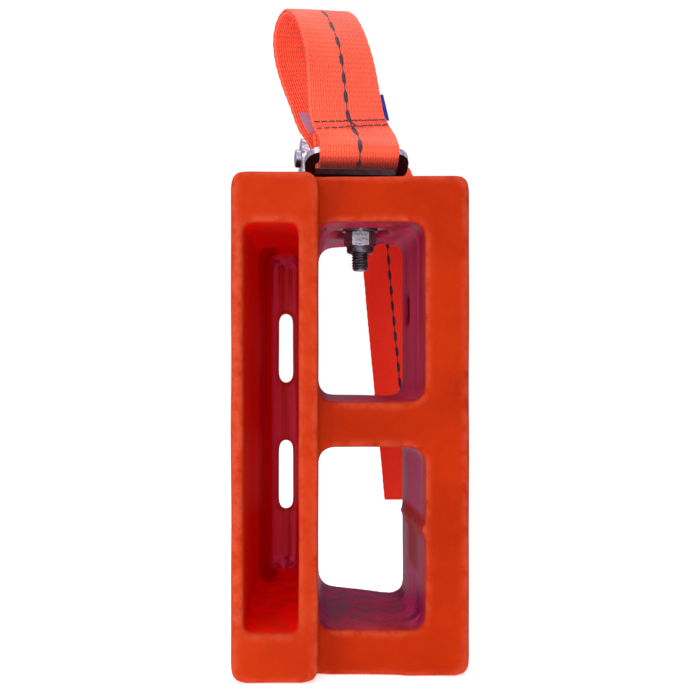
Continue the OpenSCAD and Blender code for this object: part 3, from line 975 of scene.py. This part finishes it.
@dataclass
class StrapRoutes:
    """The webbing's routes: place, turn of its width about Z and tilt, in mm and degrees."""

    width: float = 35.0
    thickness: float = 2.3
    lip_angle: float = math.radians(33)
    lip_foot: tuple = (-9.2, 1.75)
    lip_reach: float = 14.1
    lip_turn: float = 7.5
    eye_long: float = 5.8
    eye_short: float = 3.9
    turn_radius: float = 5.0
    turn_y: float = 15.0
    web_z: float = 4.95
    rear_y: float = 34.0
    straight: float = 4.0
    fold_end: tuple = (1.2, -35, 232, 10, 0)
    buckle_turn: float = 6.5
    fold_gap: float = 0.9
    seam_low: int = 1
    shear: float = 0.35
    rise: tuple = (
        (3.1, -40.2, 233, 10, 0), (0.8, -37.9, 237.5, 14, 1), (-1, -37.2, 242, 17, 1),
        (-2.2, -36.8, 250, 21, 3), (-3.5, -36, 262, 27, 5), (-5.4, -34.5, 274, 32, 7),
        (-8.4, -31.2, 284, 34, 8), (-11.6, -27, 291, 35, 9), (-15.2, -22, 294, 35, 9),
        (-18.4, -16.6, 291.6, 35, 9), (-20.1, -12.8, 285.5, 34, 8), (-19.4, -10.8, 276, 33, 7),
        (-16, -10, 266, 28, 5), (-11, -9.6, 255, 21, 3), (-6.8, -9.2, 246, 14, 2),
        (-1.6, -9.2, 238.5, 8, 0),
    )
    hang: tuple = (
        (-2, 25.5, 223, -8, 0), (1.8, 31.5, 227, -20, 0), (7.4, 37.5, 231.5, -31, 0),
        (12.8, 43.6, 234.6, -37, 0), (17.4, 50.5, 235.2, -39, 0), (20.8, 58, 232, -38, 0),
        (22.8, 65, 225, -37, 0), (23.8, 70.5, 215, -36, 0), (24.4, 73.6, 203, -35, 0),
        (25.2, 75, 190, -35, 0), (26.6, 75.2, 174, -35, 0), (28, 74.8, 158, -35, 0),
        (29.5, 74.2, 142, -35, 0), (31, 73.5, 126, -35, 0), (32.5, 72.8, 110, -35, 0),
        (34, 72.2, 94, -35, 0), (35.6, 71.6, 76, -35, 0), (37.2, 71, 58, -35, 0),
    )

    def eye_rows(self) -> list:
        """The webbing's turn round the lip's bar: part of an ellipse on the lip's slope."""
        rows = []
        c, s = math.cos(self.lip_angle), math.sin(self.lip_angle)
        bar_y = self.lip_foot[0] - self.lip_reach * c
        bar_z = self.lip_foot[1] + self.lip_reach * s
        for a in np.radians(np.arange(130, 351, 20)):
            y = bar_y - self.eye_long * math.cos(a) * c + self.eye_short * math.sin(a) * s
            z = bar_z + self.eye_long * math.cos(a) * s + self.eye_short * math.sin(a) * c
            rows.append(SEAT.row(y, z, self.lip_turn))
        return rows

    def frame_at(self, rows: np.ndarray, i: int) -> tuple[np.ndarray, np.ndarray, np.ndarray]:
        """Place, width direction and normal at one row."""
        places, widths, normals = ribbon_frames(rows, self.shear)
        return places[i], widths[i], normals[i]

    def fold_rows(self) -> list:
        """The sewn end, which lies behind the loop's front layer."""
        rise = np.array(self.rise, float)
        rows = []
        for i in (self.seam_low + 1, self.seam_low):
            place, _, normal = self.frame_at(rise, i)
            rows.append([*(place + normal * (self.thickness + self.fold_gap)), *rise[i, 3:]])
        return rows + [list(self.fold_end)]

    def turn_rows(self) -> list:
        """The quarter turn under the cam."""
        a = np.radians(np.arange(180, 271, 15))
        y = self.turn_y + self.turn_radius * np.cos(a)
        z = self.web_z + self.turn_radius * (1 + np.sin(a))
        return [SEAT.row(p, q, self.buckle_turn) for p, q in zip(y, z)]

    def rear_row(self, past: float = 0.0) -> list:
        """A row at the buckle's rear, or some way past it."""
        return SEAT.row(self.rear_y + past, self.web_z, self.buckle_turn)

    def loop(self) -> np.ndarray:
        """The whole standing loop, from the fold to the buckle's rear."""
        rows = self.fold_rows() + self.eye_rows() + [list(r) for r in self.rise]
        rows += self.turn_rows() + [self.rear_row()]
        return np.array(rows, float)

    def tail(self) -> np.ndarray:
        """The free tail, from the buckle's rear to its bare end."""
        rows = [self.rear_row(), self.rear_row(self.straight)]
        return np.array(rows + [list(r) for r in self.hang], float)


def ribbon_frames(
    rows: np.ndarray, square: float = 1.0
) -> tuple[np.ndarray, np.ndarray, np.ndarray]:
    """Places, width directions and normals along a webbing route.

    The width direction is turned about Z and tilted as the row says, then made square to the
    route; the normal is the route's direction crossed with it.

    Args:
        rows: (n, 5) place, turn and tilt.
        square: how far the width is made square; below one, the cloth shears.

    Returns:
        Three (n, 3) arrays.
    """
    yaw, tilt = np.radians(rows[:, 3]), np.radians(rows[:, 4])
    wide = np.stack(
        [np.cos(yaw) * np.cos(tilt), np.sin(yaw) * np.cos(tilt), np.sin(tilt)], axis=1
    )
    step = rows[:, :3]
    along = np.empty_like(step)
    along[1:-1] = step[2:] - step[:-2]
    along[0], along[-1] = step[1] - step[0], step[-1] - step[-2]
    along = unit(along)
    wide = unit(wide - square * along * np.sum(wide * along, axis=1, keepdims=True))
    return step, wide, unit(np.cross(along, wide))


@dataclass
class Ribbon:
    """A woven band carried along a route, with yarns that stand out of its faces."""

    rows: np.ndarray
    width: float = 35.0
    thickness: float = 2.3
    columns: int = 30
    per_column: int = 3
    row_pitch: float = 2.2
    yarn: float = 0.26
    step: float = 0.55
    start: float = 0.0
    square: float = 1.0
    selvedge: float = 0.5
    flatten: float = 0.86
    swell: float = 0.55
    pick_bow: float = 0.08

    def section(self) -> tuple[np.ndarray, np.ndarray, np.ndarray]:
        """Once round the band's section.

        Returns:
            The place across the width, the half thickness with its sign, and the yarn's share.
            The half thickness falls to nothing at each edge as a root of the distance left.
        """
        count = self.columns * self.per_column
        inner = self.width / 2 - self.selvedge
        across = np.linspace(-inner, inner, count + 1)
        lip = self.selvedge * np.array([1.0, 0.84, 0.44])
        out = np.concatenate([-inner - lip, across, inner + lip[::-1]])
        left = np.clip((self.width / 2 - np.abs(out)) / 0.9, 0, 1)
        half = self.thickness / 2 * (0.22 + 0.78 * np.sqrt(left * (2 - left)))
        u = np.concatenate([out, out[::-1]])
        return u, np.concatenate([half, -half[::-1]]), np.clip((left - 0.4) / 0.6, 0, 1)

    def mesh(self, name: str) -> tuple[bpy.types.Object, np.ndarray, float]:
        """Builds the band.

        A yarn's height is the root of the sine across its column times a power of the sine along
        it, and neighbouring columns are a quarter row apart, so that the picks run in ribs.

        Args:
            name: the piece's name.

        Returns:
            The object, its centre line in metres, and its length in metres.
        """
        rows, length = smooth_path(self.rows, self.step)
        place, wide, normal = ribbon_frames(rows, self.square)
        u, half, share = self.section()
        share = np.concatenate([share, share[::-1]])
        pitch = (self.width - 2 * self.selvedge) / self.columns
        column = (u + self.width / 2 - self.selvedge) / pitch
        bulge = np.sqrt(np.abs(np.sin(np.pi * column)))
        odd = (np.floor(column + 1e-6) % 2) * 0.25
        v = (length + self.start)[:, None]
        along = np.abs(np.sin(np.pi * (v / self.row_pitch + odd[None, :])))
        wave = 1 - self.swell + self.swell * along**0.7
        proud = self.yarn * (bulge * share)[None, :] * wave * np.sign(half)[None, :]
        ripple = 0.10 * np.sin(v * 0.31) * np.sin(u[None, :] * 0.21 + v * 0.05)
        pick = self.pick_bow * np.sin(np.pi * v / self.row_pitch)
        edge = (1 - share)[None, :] * pick * np.sign(u)[None, :]
        points = (
            place[:, None, :]
            + wide[:, None, :] * (u[None, :] + edge)[..., None]
            + normal[:, None, :] * (half[None, :] * self.flatten + proud + ripple)[..., None]
        )
        uv = np.stack(np.broadcast_arrays(u[None, :], v), axis=-1) * MM
        sides = len(u)
        faces = np.concatenate([ring_faces(len(rows), sides), end_caps(len(rows), sides)])
        made = new_mesh(name, points.reshape(-1, 3) * MM, faces, uv)
        return made, place * MM, float(length[-1]) * MM


@dataclass
class StrapSet:
    """The one strap: its standing loop, sewn fold, labels and hanging tail."""

    routes: StrapRoutes = field(default_factory=StrapRoutes)
    stitch_length: float = 2.4
    stitch_step: float = 3.4
    stitches: int = 10
    seam_shares: tuple = (0.06, 0.68)
    thread_radius: float = 0.27
    stitch_proud: float = 0.42
    stitch_dip: float = 0.62
    stitch_overlap: float = 0.35
    left_sink: float = 0.34
    join_proud: float = 0.62
    join_dip: float = 0.8
    label_width: float = 10.0
    label_thickness: float = 0.4
    label_reach: float = 0.62
    tail_start: float = 3.1
    path_points: int = 90

    def tail(self, finish: FinishSet) -> None:
        rows = self.routes.tail()
        piece, centre, length = Ribbon(rows, start=self.tail_start).mesh("strap_tail")
        dress(piece, Body.BUCKLE, Slot.WEBBING, finish.tail, "webbing_tail")
        path = centre[:: max(1, len(centre) // self.path_points)]
        path = np.concatenate([path, centre[-1:]]) if len(centre) % 2 == 0 else path
        log.info("free tail %.4f m", length)

    def loop(self, finish: FinishSet) -> None:
        """Builds the standing loop with its eye and fold."""
        piece, _, length = Ribbon(self.routes.loop(), square=self.routes.shear).mesh("strap_loop")
        dress(piece, Body.BUCKLE, Slot.WEBBING, finish.strap, "webbing_loop")
        log.info("standing loop %.4f m", length)

    def seam_frame(self, share: float) -> tuple[np.ndarray, np.ndarray, np.ndarray]:
        """Place, width direction and normal part of the way between the seam's two rows."""
        rise = np.array(self.routes.rise, float)
        parts = zip(
            self.routes.frame_at(rise, self.routes.seam_low),
            self.routes.frame_at(rise, self.routes.seam_low + 1),
        )
        place, wide, normal = (a * (1 - share) + b * share for a, b in parts)
        return place, unit(wide), unit(normal)

    def stitch_paths(self) -> list[np.ndarray]:
        """Centre lines of the stitches: low arches over the front layer, in millimetres.

        Those left of the middle are pulled deeper into the cloth, and the two rows are joined by
        one slanting stitch beside the tracer.
        """
        paths = []
        reach = self.stitch_length / 2 + self.stitch_overlap
        face = self.routes.thickness / 2
        t = np.linspace(-1, 1, 11)
        for share in self.seam_shares:
            place, wide, normal = self.seam_frame(share)
            for i in range(self.stitches):
                x = (i - (self.stitches - 1) / 2) * self.stitch_step
                sink = self.left_sink if x < -2 else 0.0
                out = face + self.stitch_proud - sink - self.stitch_dip * t**4
                line = place + wide * (x + reach * t)[:, None] - normal * out[:, None]
                line[:, 2] += 0.14 * np.sin(2.3 * i + 5 * share) * t
                paths.append(line)
        low, wide, normal = self.seam_frame(self.seam_shares[0])
        high = self.seam_frame(self.seam_shares[1])[0]
        out = face + self.join_proud - self.join_dip * t**4
        share = ((t + 1) / 2)[:, None]
        across = (high + wide * -1.4) * (1 - share) + (low + wide * 1.6) * share
        paths.append(across - normal * out[:, None])
        return paths

    def stitching(self, finish: FinishSet) -> None:
        """Sews the fold: one mesh of short thread arches."""
        parts = [tube(p, self.thread_radius, 8, (0, 0.15, 1)) for p in self.stitch_paths()]
        shift = np.cumsum([0] + [len(p) for p, _ in parts[:-1]])
        points = np.concatenate([p for p, _ in parts])
        faces = np.concatenate([f + s for (_, f), s in zip(parts, shift)])
        piece = new_mesh("fold_stitches", points * MM, faces)
        dress(piece, Body.BUCKLE, Slot.THREAD, finish.thread, "fold_stitching")

    def label(
        self, name: str, node: str, slot: Slot, finish: bpy.types.Material,
        side: float, low: int, taper: float = 0.0,
    ) -> None:
        """Builds a woven label that is held between the front layer and the fold.

        Its surface follows the loop's rows; its free end bows outwards with the square of the
        distance from the seam.

        Args:
            name: the piece's name.
            node: the frame node that it stands for.
            slot: its record slot.
            finish: its material.
            side: the label's middle across the webbing.
            low: the loop's row that it starts at.
            taper: share of its width that is folded under at its lower end.
        """
        rise = np.array(self.routes.rise, float)[low : low + 3]
        fine, length = smooth_path(rise, 0.35)
        keep = length <= length[-1] * self.label_reach
        _, wide, normal = ribbon_frames(fine, self.routes.shear)
        place, wide, normal, length = fine[keep, :3], wide[keep], normal[keep], length[keep]
        half = self.label_width / 2
        inner = np.linspace(-half + 0.1, half - 0.1, 25)
        out = np.concatenate([[-half], inner, [half]])
        thick = self.label_thickness / 2 * np.concatenate([[0.3], np.ones(len(inner)), [0.3]])
        u = np.concatenate([out, out[::-1]])
        h = np.concatenate([thick, -thick[::-1]])
        rib = 0.03 * np.sin(length * TAU / 0.9)[:, None] * np.sign(h)[None, :]
        bow = 0.05 * np.sin(u[None, :] * 0.5 + length[:, None] * 0.4)
        off = self.routes.thickness / 2 + self.routes.fold_gap / 2
        rest = 1 - taper * (1 - length / length[-1])[:, None]
        across = side + half + (u[None, :] - half) * rest
        points = (
            place[:, None, :]
            + wide[:, None, :] * across[..., None]
            + normal[:, None, :] * (off + h[None, :] + rib + bow)[..., None]
        )
        uv = np.stack(np.broadcast_arrays(u[None, :], length[:, None]), axis=-1) * MM
        faces = np.concatenate([ring_faces(len(place), len(u)), end_caps(len(place), len(u))])
        piece = new_mesh(name, points.reshape(-1, 3) * MM, faces, uv)
        dress(piece, Body.BUCKLE, slot, finish, node)

    def labels(self, finish: FinishSet) -> None:
        """Builds both labels."""
        low = self.routes.seam_low
        self.label("label_blue", "blue_label", Slot.BLUE, finish.blue, 15.2, low + 1)
        self.label("label_pale", "pale_label", Slot.PALE, finish.pale, -16.9, low, 0.28)


# ---------------------------------------------------------------- block


@dataclass
class CastBlock:
    """The urethane casting: bull-nosed edges and slightly wavy faces."""

    voxel: float = 1.6
    smoothing: int = 10
    wave: float = 0.16

    def build(self, finish: FinishSet) -> None:
        """Softens a merged copy of the block and ripples its skin.

        The ripple moves a point along its normal by a sum of three slow sines of its place.
        """
        piece = merged_copy("cast_block", "block")
        remesh = piece.modifiers.new("even", "REMESH")
        remesh.mode = "VOXEL"
        remesh.voxel_size = self.voxel * MM
        soften = piece.modifiers.new("soften", "SMOOTH")
        soften.factor = 0.5
        soften.iterations = self.smoothing
        apply_modifiers(piece)
        mesh = piece.data
        read = {}
        for key in ("co", "normal"):
            flat = np.zeros(len(mesh.vertices) * 3, np.float32)
            mesh.vertices.foreach_get(key, flat)
            read[key] = flat.reshape(-1, 3).astype(float)
        place, normal = read["co"], read["normal"]
        x, y, z = (place / MM).T
        ripple = (
            np.sin(0.11 * z + 0.07 * x)
            + np.sin(0.19 * x - 0.05 * y + 1.3)
            + np.sin(0.07 * z + 0.13 * y + 2.1)
        ) / 3
        place = place + normal * (self.wave * MM * (ripple - 1.0))[:, None]
        mesh.vertices.foreach_set("co", place.astype(np.float32).ravel())
        mesh.polygons.foreach_set("use_smooth", np.ones(len(mesh.polygons), bool))
        mesh.update()
        dress(piece, Body.BLOCK, Slot.URETHANE, finish.urethane, "block")


# ---------------------------------------------------------------- bolt


@dataclass
class BoltStack:
    """The bolt through the block's top with its washers and locking nut."""

    axis: tuple = (5.2, -17.0)
    flats: float = 13.0
    thread_d: float = 8.0
    thread_pitch: float = 1.25
    thread_depth: float = 0.62
    bolt_length: float = 45.0
    head_z: float = 221.3
    head_height: float = 5.3
    nut_top: float = 194.4
    nut_hex: float = 7.0
    nut_collar: float = 3.0
    collar_d: float = 12.4
    hole_d: float = 8.4
    chamfer: float = math.tan(math.radians(28))
    thread_top: float = -20.0
    run_out: float = 2.0
    lead_in: float = 0.9

    def at_axis(self, points: np.ndarray, z: float) -> np.ndarray:
        """Moves points on to the bolt's axis, in metres."""
        return (points + np.array([self.axis[0], self.axis[1], z])) * MM

    def hex_radius(self, sides: int) -> np.ndarray:
        """Radius of the hexagon round its axis: the half flats over the cosine off each flat."""
        a = np.linspace(0, 360, sides, endpoint=False)
        return self.flats / 2 / np.cos(np.radians((a % 60) - 30))

    def rows(self, sides: int, parts: list) -> np.ndarray:
        """Stacks ring rows whose radius or height may be one number or an array."""
        one = np.ones(sides)
        return np.array([np.stack([r * one, z * one], axis=-1) for r, z in parts])

    def washer(self, name: str, outer: float, thick: float, z: float) -> bpy.types.Object:
        """A punched washer: one edge is rolled over, and the other is sharp with a burr.

        Args:
            name: the piece's name.
            outer: its outer diameter.
            thick: its thickness.
            z: height of its underside.

        Returns:
            The object.
        """
        r, q = outer / 2, self.hole_d / 2
        roll = min(0.28, thick * 0.3)
        a = np.linspace(0, math.pi / 2, 5)
        top = [(r - roll + roll * math.cos(t), thick - roll + roll * math.sin(t)) for t in a]
        hole = [(q + roll * (1 - math.sin(t)), thick - roll * (1 - math.cos(t))) for t in a]
        low = [(q, 0.06), (q + 0.06, 0.0), (r - 0.08, 0.0), (r, 0.08)]
        points, faces = turned(np.array(low + top + hole), 96, True)
        return new_mesh(name, self.at_axis(points, z), faces)

    def nut(self) -> bpy.types.Object:
        """The locking nut: a chamfered hexagon over a rounded collar that grips the nylon ring."""
        sides = 96
        r = self.hex_radius(sides)
        seat = self.flats / 2 - 0.15
        low = self.nut_collar
        high = low + self.nut_hex
        slope = np.clip(r - seat, 0, None) * self.chamfer
        c = self.collar_d / 2
        bore = self.thread_d / 2
        inside = [(bore + 0.02, low - 0.1), (5.5, low - 0.1), (5.5, 0.55), (5.15, 0.28)]
        mouth = [(5.1, 0.05), (5.3, 0.0), (c - 0.55, 0.12), (c - 0.16, 0.5)]
        collar = [(c - 0.02, 1.1), (c, 1.7), (c, low - 0.15), (seat - 0.05, low)]
        flank = [(seat, low + 0.02), (r, low + 0.05 + slope), (r, high - 0.05 - slope)]
        face = [(seat, high - 0.02), (seat - 0.3, high), (bore + 0.7, high)]
        parts = inside + mouth + collar + flank + face + [(bore + 0.02, high - 0.6)]
        points, faces = turned(self.rows(sides, parts), sides, True)
        return new_mesh("lock_nut_body", self.at_axis(points, self.nut_top - high), faces)

    def insert(self) -> bpy.types.Object:
        """The nylon ring in the collar, bulged inwards where the thread cuts it."""
        a = np.linspace(0, TAU, 24, endpoint=False)
        r, z = rounded_loop(a, (4.76, 1.78), (0.68, 1.12), 0.55)
        points, faces = turned(np.stack([r, z], axis=1), 64, True)
        base = self.nut_top - self.nut_hex - self.nut_collar
        return new_mesh("nut_ring", self.at_axis(points, base), faces)

    def bolt(self) -> bpy.types.Object:
        """The bolt: a cut thread, a shank and a chamfered hexagon head.

        The thread's radius falls from the crest by a triangle wave of the height over the pitch
        less the turn round the axis, so its ridge is a helix.
        """
        sides = 96
        turn = np.linspace(0, 1, sides, endpoint=False)
        crest = self.thread_d / 2 - 0.04
        end = -self.bolt_length
        z = np.arange(end + self.lead_in, self.thread_top, self.thread_pitch / 12)
        phase = (z[:, None] / self.thread_pitch - turn[None, :]) % 1.0
        vee = np.clip(np.abs(phase * 2 - 1) * 1.25 - 0.12, 0, 1)
        fade = np.clip((z - end - self.lead_in) / 0.8, 0, 1)[:, None]
        start = np.clip((self.thread_top - z) / self.run_out, 0, 1)[:, None]
        thread = crest - self.thread_depth * vee * start - 0.35 * (1 - fade)
        rows = [np.stack([r, np.full(sides, h)], axis=-1) for r, h in zip(thread, z)]
        tip = self.rows(sides, [(0.001, end), (2.6, end), (3.05, end + 0.12)])
        r = self.hex_radius(sides)
        seat = self.flats / 2 - 0.2
        slope = np.clip(r - seat, 0, None) * self.chamfer
        high = self.head_height
        shank = [(crest, -19.9), (crest, -0.4), (crest + 0.35, -0.02), (seat - 0.6, 0.0)]
        flank = [(seat - 0.4, 0.12), (r - 0.12, 0.2), (r, 0.45), (r, high - 0.1 - slope)]
        face = [(seat, high - 0.05), (seat - 0.35, high), (3.4, high)]
        dish = [(2.9, high - 0.12), (0.001, high - 0.12)]
        head = self.rows(sides, shank + flank + face + dish)
        points, faces = turned(np.concatenate([tip, np.array(rows), head]), sides, False)
        return new_mesh("hex_bolt", self.at_axis(points, self.head_z), faces)

    def build(self, finish: FinishSet) -> None:
        """Builds the stack from the recess up to the head."""
        zinc = (Slot.ZINC, finish.zinc)
        base = self.nut_top
        for name, node, outer, thick, z in (
            ("recess_disc", "recess_washer", 25.0, 1.5, base + 1.6),
            ("nut_washer", "plain_washer", 16.0, 1.6, base),
            ("thrust_disc", "thrust_washer", 22.0, 1.0, 215.0),
            ("bolt_washer", "head_washer", 16.0, 1.6, self.head_z - 1.6),
        ):
            dress(self.washer(name, outer, thick, z), Body.BLOCK, *zinc, node)
        dress(self.nut(), Body.BLOCK, *zinc, "lock_nut")
        dress(self.insert(), Body.BLOCK, Slot.NYLON, finish.nylon, "nut_insert")
        dress(self.bolt(), Body.BLOCK, *zinc, "bolt")
        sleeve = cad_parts["crush_sleeve"]
        sleeve.data.materials.clear()
        sleeve.data.materials.append(finish.zinc)
        log.info("crush_sleeve keeps the frame's mesh")


# ---------------------------------------------------------------- buckle


@dataclass
class CamBuckle:
    """The galvanised frame, its pin and ring, the toothed cam and its torsion spring."""

    pin_y: float = 20.0
    pin_z: float = 15.5
    frame_width: float = 43.0
    pin_d: float = 6.0
    head_d: float = 8.6
    head_length: float = 3.0
    tail_length: float = 3.0
    clip_d: float = 10.0
    clip_thick: float = 1.0
    wire_d: float = 1.1
    coil_d: float = 8.4
    coil_turns: float = 3.25
    coil_pitch: float = 1.25
    spring_x: float = 12.4
    leg: float = 9.0
    head_roll: float = 0.9
    bevel_angle: float = math.radians(32)
    crease: float = math.radians(35)

    def rounded(self, name: str, node: str, edge: float, segments: int) -> bpy.types.Object:
        """A merged copy of a frame node with its edges rolled over.

        Args:
            name: the piece's name.
            node: the frame node that it copies.
            edge: the roll's radius in millimetres.
            segments: facets across the roll.

        Returns:
            The object.
        """
        piece = merged_copy(name, node)
        bevel = piece.modifiers.new("rolled edges", "BEVEL")
        bevel.width = edge * MM
        bevel.segments = segments
        bevel.limit_method = "ANGLE"
        bevel.angle_limit = self.bevel_angle
        bevel.harden_normals = False
        apply_modifiers(piece)
        piece.data.polygons.foreach_set("use_smooth", np.ones(len(piece.data.polygons), bool))
        piece.data.set_sharp_from_angle(angle=self.crease)
        return piece

    def on_pin(self, points: np.ndarray, x: float) -> np.ndarray:
        """Lays a shape turned about Z along the pin, and puts it in the block's frame."""
        local = np.stack(
            [points[:, 2] + x, points[:, 0] + self.pin_y, points[:, 1] + self.pin_z], axis=-1
        )
        return SEAT.world(local) * MM

    def pin(self) -> bpy.types.Object:
        """The pin: a domed head, a plain shank and a chamfered tail."""
        r, h = self.head_d / 2, self.head_length
        q = self.pin_d / 2
        end = h + self.frame_width + self.tail_length
        a = np.linspace(0, math.pi / 2, 9)
        roll, rise = self.head_roll, 0.3
        flat = r - roll
        dome = [(0.001 + flat * t, rise * t**3) for t in np.linspace(0, 1, 6)]
        curl = [(flat + roll * math.sin(t), rise + roll * (1 - math.cos(t))) for t in a]
        shank = [(r, h - 0.25), (r - 0.25, h), (q + 0.01, h), (q, h + 0.1)]
        tail = [(q, end - 0.7), (q - 0.12, end - 0.3), (q - 0.5, end), (0.001, end)]
        points, faces = turned(np.array(dome + curl + shank + tail), 64, False)
        place = self.on_pin(points, -self.frame_width / 2 - h)
        return new_mesh("pin_shaft", place, faces)

    def clip(self) -> bpy.types.Object:
        """The ring on the pin's far end: a flat ring with rolled edges."""
        a = np.linspace(0, TAU, 28, endpoint=False)
        mid = (self.clip_d / 2 + self.pin_d / 2) / 2
        half = (self.clip_d - self.pin_d) / 4
        thick = self.clip_thick / 2
        r, z = rounded_loop(a, (mid, thick), (half, thick), 0.4)
        points, faces = turned(np.stack([r, z], axis=1), 64, True)
        return new_mesh("pin_ring", self.on_pin(points, self.frame_width / 2 + 0.1), faces)

    def spring(self) -> bpy.types.Object:
        """The torsion spring: a close helix with a straight leg off each end."""
        a = np.linspace(0, self.coil_turns, 130)
        angle = np.radians(-60) - TAU * a
        x = self.spring_x + self.wire_d / 2 + self.coil_pitch * a
        r = self.coil_d / 2
        helix = np.stack([x, r * np.cos(angle), r * np.sin(angle)], axis=1)
        first = np.array([0, np.sin(angle[0]), -np.cos(angle[0])])
        last = np.array([0, np.sin(angle[-1]), -np.cos(angle[-1])])
        short = helix[0] - first * np.linspace(2.0, 0.3, 5)[:, None]
        long = helix[-1] + last * np.linspace(0.4, self.leg, 16)[:, None]
        path = np.concatenate([short, helix, long]) + np.array([0, self.pin_y, self.pin_z])
        points, faces = tube(path, self.wire_d / 2, 12, (1, 0.02, 0.01))
        return new_mesh("torsion_spring", SEAT.world(points) * MM, faces)

    def build(self, finish: FinishSet) -> None:
        """Builds the buckle round its pin."""
        plate = self.rounded("galvanised_frame", "buckle_frame", 0.7, 3)
        dress(plate, Body.BUCKLE, Slot.GALVANISED, finish.galvanised, "buckle_frame")
        dress(self.pin(), Body.BUCKLE, Slot.ZINC, finish.galvanised, "pivot_pin")
        dress(self.clip(), Body.BUCKLE, Slot.SPRING, finish.spring, "pin_clip")
        dress(self.spring(), Body.BUCKLE, Slot.SPRING, finish.spring, "cam_spring")
        lever = self.rounded("toothed_cam", "cam_lever", 0.22, 2)
        dress(lever, Body.CAM, Slot.GALVANISED, finish.galvanised, "cam_lever")


# ---------------------------------------------------------------- studio


@dataclass
class Studio:
    """A level view of the front, a pale floor and soft lights."""

    camera_at: tuple = (-0.01335, -0.479, 0.139)
    lens_mm: float = 51.43
    sensor_mm: float = 36.0
    shift: tuple = (0.0429, 0.0029)
    floor_half: float = 1.2
    floor_glow: float = 0.60
    surround: float = 0.34
    backdrop: float = 1.02
    surround_tint: tuple = (0.84, 0.68, 1.0, 1)

    def camera(self) -> None:
        """Makes the camera, level and square to the block's front."""
        data = bpy.data.cameras.new("front_view")
        data.lens = self.lens_mm
        data.sensor_width = self.sensor_mm
        data.shift_x, data.shift_y = self.shift
        data.clip_start = 0.01
        made = linked("front_view", data)
        made.location = self.camera_at
        made.rotation_euler = (math.pi / 2, 0, 0)
        bpy.context.scene.camera = made

    def floor(self) -> None:
        """Makes the pale floor."""
        h = self.floor_half
        points = np.array([[-h, -h, 0], [h, -h, 0], [h, h, 0], [-h, h, 0]], float)
        made = new_mesh("studio_floor", points, np.array([[0, 1, 2, 3]]))
        tree, shader = start_material(
            "pale_floor",
            Roughness=0.9,
            Specular_IOR_Level=0.1,
            Emission_Color=WHITE,
            Emission_Strength=self.floor_glow,
        )
        mottle = tree.noise(tree.place(), 3.0, 3, 0.5)
        pale = tree.blend(mottle, (0.90, 0.90, 0.90, 1), (0.93, 0.93, 0.93, 1))
        tree.feed(shader.inputs["Base Color"], pale)
        made.data.materials.append(bpy.data.materials["pale_floor"])

    def soft_box(
        self, name: str, place: tuple, aim: tuple, size: tuple, watts: float, tint: tuple
    ) -> None:
        """Adds one rectangular soft light.

        Args:
            name: the light's name.
            place: where it stands.
            aim: the point that it faces.
            size: width and height in metres.
            watts: its power.
            tint: its colour.
        """
        data = bpy.data.lights.new(name, "AREA")
        data.shape = "RECTANGLE"
        data.size, data.size_y = size
        data.energy = watts
        data.color = tint
        made = linked(name, data)
        made.location = place
        way = Vector(aim) - Vector(place)
        made.rotation_euler = way.to_track_quat("-Z", "Y").to_euler()

    def light(self) -> None:
        """Sets the pale surroundings and the soft boxes."""
        world = bpy.data.worlds.new("studio")
        world.use_nodes = True
        tree = Tree(world.node_tree)
        seen = tree.add("LightPath").outputs["Is Camera Ray"]
        strength = tree.span(seen, 0, 1, self.surround, self.backdrop)
        tint = tree.blend(seen, self.surround_tint, WHITE)
        back = tree.add("Background", Color=tint, Strength=strength)
        tree.feed(tree.add("OutputWorld").inputs["Surface"], back.outputs[0])
        bpy.context.scene.world = world
        middle = (0.0, 0.0, 0.13)
        for name, place, size, watts, colour in (
            ("front", (-0.25, -1.25, 0.34), (0.5, 0.5), 6.4, (1, 1, 1)),
            ("key", (-0.60, -0.80, 0.80), (0.6, 0.6), 3.4, (1, 1, 1)),
            ("top", (0.0, -0.1, 1.5), (0.9, 0.9), 12.0, (1, 1, 1)),
            ("rear", (0.3, 1.3, 0.9), (1.2, 0.9), 3.2, (1.0, 0.68, 0.85)),
        ):
            self.soft_box(name, place, middle, size, watts, colour)
        view = bpy.context.scene.view_settings
        view.view_transform = "Standard"
        view.look = "None"


def main() -> None:
    """Builds the studio, the strap, the block, the bolt and the buckle in order."""
    logging.basicConfig(level=logging.INFO, format="%(message)s")
    studio = Studio()
    studio.camera()
    finish = FinishSet()
    strap = StrapSet()
    strap.tail(finish)
    strap.loop(finish)
    strap.stitching(finish)
    strap.labels(finish)
    CastBlock().build(finish)
    BoltStack().build(finish)
    CamBuckle().build(finish)
    studio.floor()
    studio.light()


if __name__ == "__main__":
    main()
